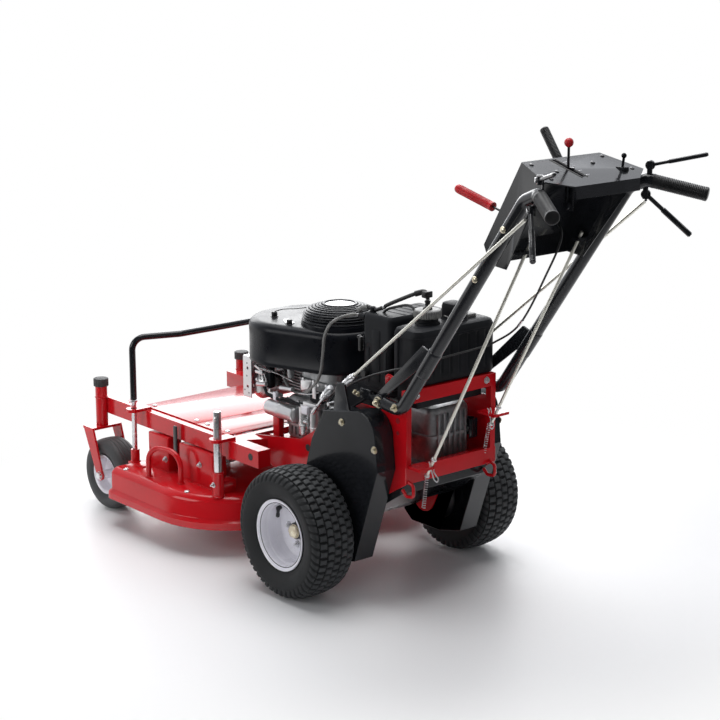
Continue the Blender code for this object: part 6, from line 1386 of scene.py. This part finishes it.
def levers():
    x, y, z = -0.034, -0.650, 1.030
    disc = bar((x - 0.003, y, z), (x + 0.003, y, z), 0.0099, 32)
    put("shift_lever_stem", "shift_lever", BLACK, [disc, bar((x, y, z), (x, y, 1.160), 0.0030, 16)],
        ["shift_lever"])
    knob = filleted([(0, -0.0102), (0.0045, -0.0100), (0.0052, -0.0088)], 0.0004, 2)
    b = np.linspace(math.radians(28), math.pi, 20)
    profile = np.vstack([knob, np.column_stack([0.0104 * np.sin(b), -0.0104 * np.cos(b)])])
    put("shift_knob", "shift_lever", RED_GRIP, [lathe(profile, (x, y, 1.166), (0, 0, 1), 40)])
    for name, pivot, tip, grip_length, look in (("blade_lever", (0.080, -0.535, 1.073),
                                                 (0.080, -0.4625, 1.1725), 0.085, GRIP),
                                                ("brake_lever", (-0.050, -0.493, 0.987),
                                                 (-0.050, -0.315, 1.031), 0.125, RED_GRIP)):
        pivot, tip = np.array(pivot), np.array(tip)
        way = unit(tip - pivot)
        disc = bar(pivot - [0.003, 0, 0], pivot + [0.003, 0, 0], 0.0088, 32)
        put(f"{name}_arm", name, BLACK, [disc, bar(pivot, tip - way * 0.004, 0.00275, 16)], [name])
        start = tip - way * grip_length
        s = np.linspace(0, 1, 150)
        ribs = 0.0004 * np.sin(s * grip_length / 0.0034 * TURN) * ((s > 0.08) & (s < 0.90))
        radius = 0.0105 + ribs + 0.0005 * (s < 0.05)
        close = np.sqrt(np.clip(1 - ((s - 0.93) / 0.07) ** 2, 0, 1))
        radius = np.where(s > 0.93, radius * (0.25 + 0.75 * close), radius)
        profile = np.vstack([[(0, 0)], np.column_stack([radius, s * grip_length]), [(0, grip_length)]])
        put(f"{name}_sleeve", name, look, [lathe(profile, start, way, 40)])


def cables():
    throttle = [(0.020, -0.540, 0.990), (0.020, -0.585, 0.950), (0.022, -0.535, 0.845),
                (0.052, -0.430, 0.715), (0.100, -0.300, 0.640), (0.070, -0.262, 0.620),
                (-0.041, -0.260, 0.614), (-0.120, -0.262, 0.606), (-0.145, -0.220, 0.596),
                (-0.144, -0.120, 0.560), (-0.140, -0.020, 0.512), (-0.126, 0.060, 0.465),
                (-0.1078, 0.102, 0.398)]
    lead = [(-0.085, -0.0117, 0.683), (-0.085, -0.008, 0.683), (-0.085, -0.004, 0.683),
            (-0.093, 0.007, 0.683), (-0.115, 0.029, 0.674), (-0.125, 0.055, 0.6536),
            (-0.128, 0.0735, 0.6185), (-0.128, 0.0795, 0.574), (-0.128, 0.091, 0.521),
            (-0.127, 0.123, 0.480), (-0.120, 0.172, 0.452), (-0.108, 0.234, 0.449), (-0.090, 0.285, 0.464),
            (-0.070, 0.305, 0.478)]
    hose = [(-0.070, -0.0539, 0.7038), (-0.070, -0.0579, 0.7038), (-0.070, -0.0619, 0.7042),
            (-0.068, -0.0755, 0.710), (-0.062, -0.099, 0.7234), (-0.050, -0.135, 0.7415),
            (-0.038, -0.163, 0.755), (-0.028, -0.181, 0.7605), (-0.024, -0.192, 0.754),
            (-0.024, -0.192, 0.750), (-0.024, -0.192, 0.746), (-0.024, -0.192, 0.7423)]
    breather = [(-0.058, -0.070, 0.6945), (-0.058, -0.076, 0.7010), (-0.057, -0.090, 0.7090),
                (-0.053, -0.115, 0.7175), (-0.049, -0.140, 0.7245), (-0.047, -0.160, 0.7240),
                (-0.047, -0.172, 0.7120), (-0.047, -0.176, 0.6840)]
    put("throttle_cable_sheath", "chassis", GRIP, [tube(smooth_curve(throttle, 260), 0.0025, 14)],
        ["throttle_cable"])
    put("ignition_lead_sheath", "chassis", GREYED, [tube(smooth_curve(lead, 180), 0.0040, 18)],
        ["ignition_lead"])
    put("fuel_hose_rubber", "chassis", GRIP, [tube(smooth_curve(hose, 140), 0.0050, 20)], ["fuel_hose"])
    forward = [(-0.070, -0.0400, 0.7040), (-0.072, -0.0280, 0.7055), (-0.076, -0.0120, 0.7010),
               (-0.080, -0.0010, 0.6930)]
    put("fuel_hose_forward_end", "chassis", GRIP, [tube(smooth_curve(forward, 30), 0.0050, 18)])
    put("fuel_hose_sleeve", "chassis", GREYED, [tube(smooth_curve(forward[1:], 24), 0.0062, 20)])
    put("breather_hose", "chassis", CASTER_RUBBER, [tube(smooth_curve(breather, 90), 0.0034, 16)])
    put("hose_end_fitting", "chassis", GRIP, [tube(smooth_curve([hose[6], hose[7], hose[8]], 24), 0.0072,
                                                   20), box((-0.0370, -0.1990, 0.7485),
                                                            (-0.0130, -0.1830, 0.7640), 0.0020)])
    ties = []
    for route, share, radius in ((throttle, 0.25, 0.0033), (throttle, 0.62, 0.0033), (hose, 0.30, 0.0058),
                                 (hose, 0.94, 0.0058), (lead, 0.12, 0.0048), (lead, 0.93, 0.0048)):
        run = smooth_curve(route, 200)
        k = int(share * 199)
        ties.append(bar(run[k - 1], run[k + 2] + unit(run[k + 2] - run[k - 1]) * 0.0015, radius, 20))
    put("hose_clips", "chassis", WHITE_ZINC, ties)


# Stage, light and camera

def studio():
    """A pale floor that turns pure white away from the machine for the camera and for reflections, a
    sky that is white behind the machine and dark on the camera's side, and soft lamps."""
    size = 30.0
    floor = bpy.data.meshes.new("floor")
    floor.from_pydata([(-size, -size, 0), (size, -size, 0), (size, size, 0), (-size, size, 0)], [],
                      [(0, 1, 2, 3)])
    obj = bpy.data.objects.new("floor", floor)
    bpy.context.scene.collection.objects.link(obj)
    pale = bpy.data.materials.new("studio_floor")
    pale.use_nodes = True
    tree = pale.node_tree
    shader = tree.nodes["Principled BSDF"]
    where = add(tree, "ShaderNodeTexCoord").outputs["Object"]
    tree.links.new(mixed(tree, noise(tree, where, 1.2), (0.86, 0.86, 0.87), (0.90, 0.90, 0.91)),
                   shader.inputs["Base Color"])
    tree.links.new(spread(tree, noise(tree, where, 60.0), 0.3, 0.7, 0.42, 0.6), shader.inputs["Roughness"])
    path = add(tree, "ShaderNodeLightPath")
    seen = add(tree, "ShaderNodeMath", [(0, path.outputs["Is Camera Ray"]),
                                        (1, path.outputs["Is Glossy Ray"])], operation="MAXIMUM").outputs[0]
    away = add(tree, "ShaderNodeVectorMath", [(0, where)], operation="LENGTH").outputs["Value"]
    fade = add(tree, "ShaderNodeMapRange", [("Value", away), ("From Min", 0.80), ("From Max", 1.45),
                                            ("To Min", 0.0), ("To Max", 1.0)],
               interpolation_type="SMOOTHSTEP").outputs["Result"]
    depth = add(tree, "ShaderNodeVectorMath", [(0, where), (1, (*VIEW_WAY, 0.0))],
                operation="DOT_PRODUCT").outputs["Value"]
    shine = add(tree, "ShaderNodeMix", [(0, path.outputs["Is Glossy Ray"]), (2, 1.0),
                                        (3, spread(tree, depth, -0.5, 0.5, 0.06, 1.0))],
                data_type="FLOAT").outputs[0]
    glow = add(tree, "ShaderNodeEmission", [("Color", (1, 1, 1, 1)), ("Strength", shine)])
    both = add(tree, "ShaderNodeMixShader", [(0, times(tree, seen, fade)), (1, shader.outputs[0]),
                                             (2, glow.outputs[0])])
    tree.links.new(both.outputs[0], tree.nodes["Material Output"].inputs["Surface"])
    floor.materials.append(pale)
    world = bpy.data.worlds.new("studio")
    bpy.context.scene.world = world
    world.use_nodes = True
    tree = world.node_tree
    tree.nodes.clear()
    path = add(tree, "ShaderNodeLightPath")
    coming = add(tree, "ShaderNodeNewGeometry").outputs["Incoming"]
    facing = add(tree, "ShaderNodeVectorMath", [(0, coming), (1, (-VIEW_WAY[0], -VIEW_WAY[1], 0.0))],
                 operation="DOT_PRODUCT").outputs["Value"]
    behind = spread(tree, facing, -0.15, 0.55, 0.03, 1.0)
    strength = add(tree, "ShaderNodeMix", [(0, path.outputs["Is Glossy Ray"]), (2, 0.24), (3, behind)],
                   data_type="FLOAT").outputs[0]
    lit = add(tree, "ShaderNodeBackground", [("Color", (0.93, 0.95, 1.0, 1)), ("Strength", strength)])
    white = add(tree, "ShaderNodeBackground", [("Color", (1, 1, 1, 1)), ("Strength", 1.0)])
    both = add(tree, "ShaderNodeMixShader", [(0, path.outputs["Is Camera Ray"]), (1, lit.outputs[0]),
                                             (2, white.outputs[0])])
    add(tree, "ShaderNodeOutputWorld", [("Surface", both.outputs[0])])
    for name, spot, turn, wide, high, power in (
        ("overhead_soft_box", (0.3, 0.6, 4.2), (0, 0, 0), 3.6, 3.6, 150),
        ("rear_soft_box", (3.0, 5.2, 2.6), (-62, 0, -30), 5.5, 3.2, 200),
        ("left_soft_box", (-4.6, 1.6, 1.9), (0, -70, 0), 2.2, 3.0, 60),
        ("camera_fill", (-1.2, -4.4, 2.2), (62, 0, -15), 3.6, 2.4, 7),
    ):
        lamp = bpy.data.lights.new(name, "AREA")
        lamp.shape = "RECTANGLE"
        lamp.size = wide
        lamp.size_y = high
        lamp.energy = power
        light = bpy.data.objects.new(name, lamp)
        light.location = spot
        light.rotation_euler = Euler([math.radians(t) for t in turn])
        bpy.context.scene.collection.objects.link(light)
    scene = bpy.context.scene
    scene.view_settings.view_transform = "Standard"
    data = bpy.data.cameras.new("photo_camera")
    data.lens = 92.6
    data.sensor_width = 36
    camera = bpy.data.objects.new("photo_camera", data)
    camera.location = tuple(np.array([-2.964, -3.404, 1.670]) + SHIFT)
    camera.rotation_euler = (math.radians(76.11), 0, math.radians(-40.33))
    scene.collection.objects.link(camera)
    scene.camera = camera


def build():
    for name, side in SIDES:
        rear_tyre(f"rear_tyre_{name}", side)
        rear_rim(f"rear_rim_{name}", side)
        rear_hub(f"rear_hub_{name}", side)
        caster(side, name)
    rear_axle()
    frames()
    side_covers()
    drive()
    deck()
    cutters()
    blower_housing()
    recoil_cover()
    engine_block()
    exhaust()
    oil_filter()
    side_fittings()
    air_box()
    fuel_tank()
    handle()
    control_rods()
    console()
    levers()
    cables()


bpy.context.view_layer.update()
build()
studio()
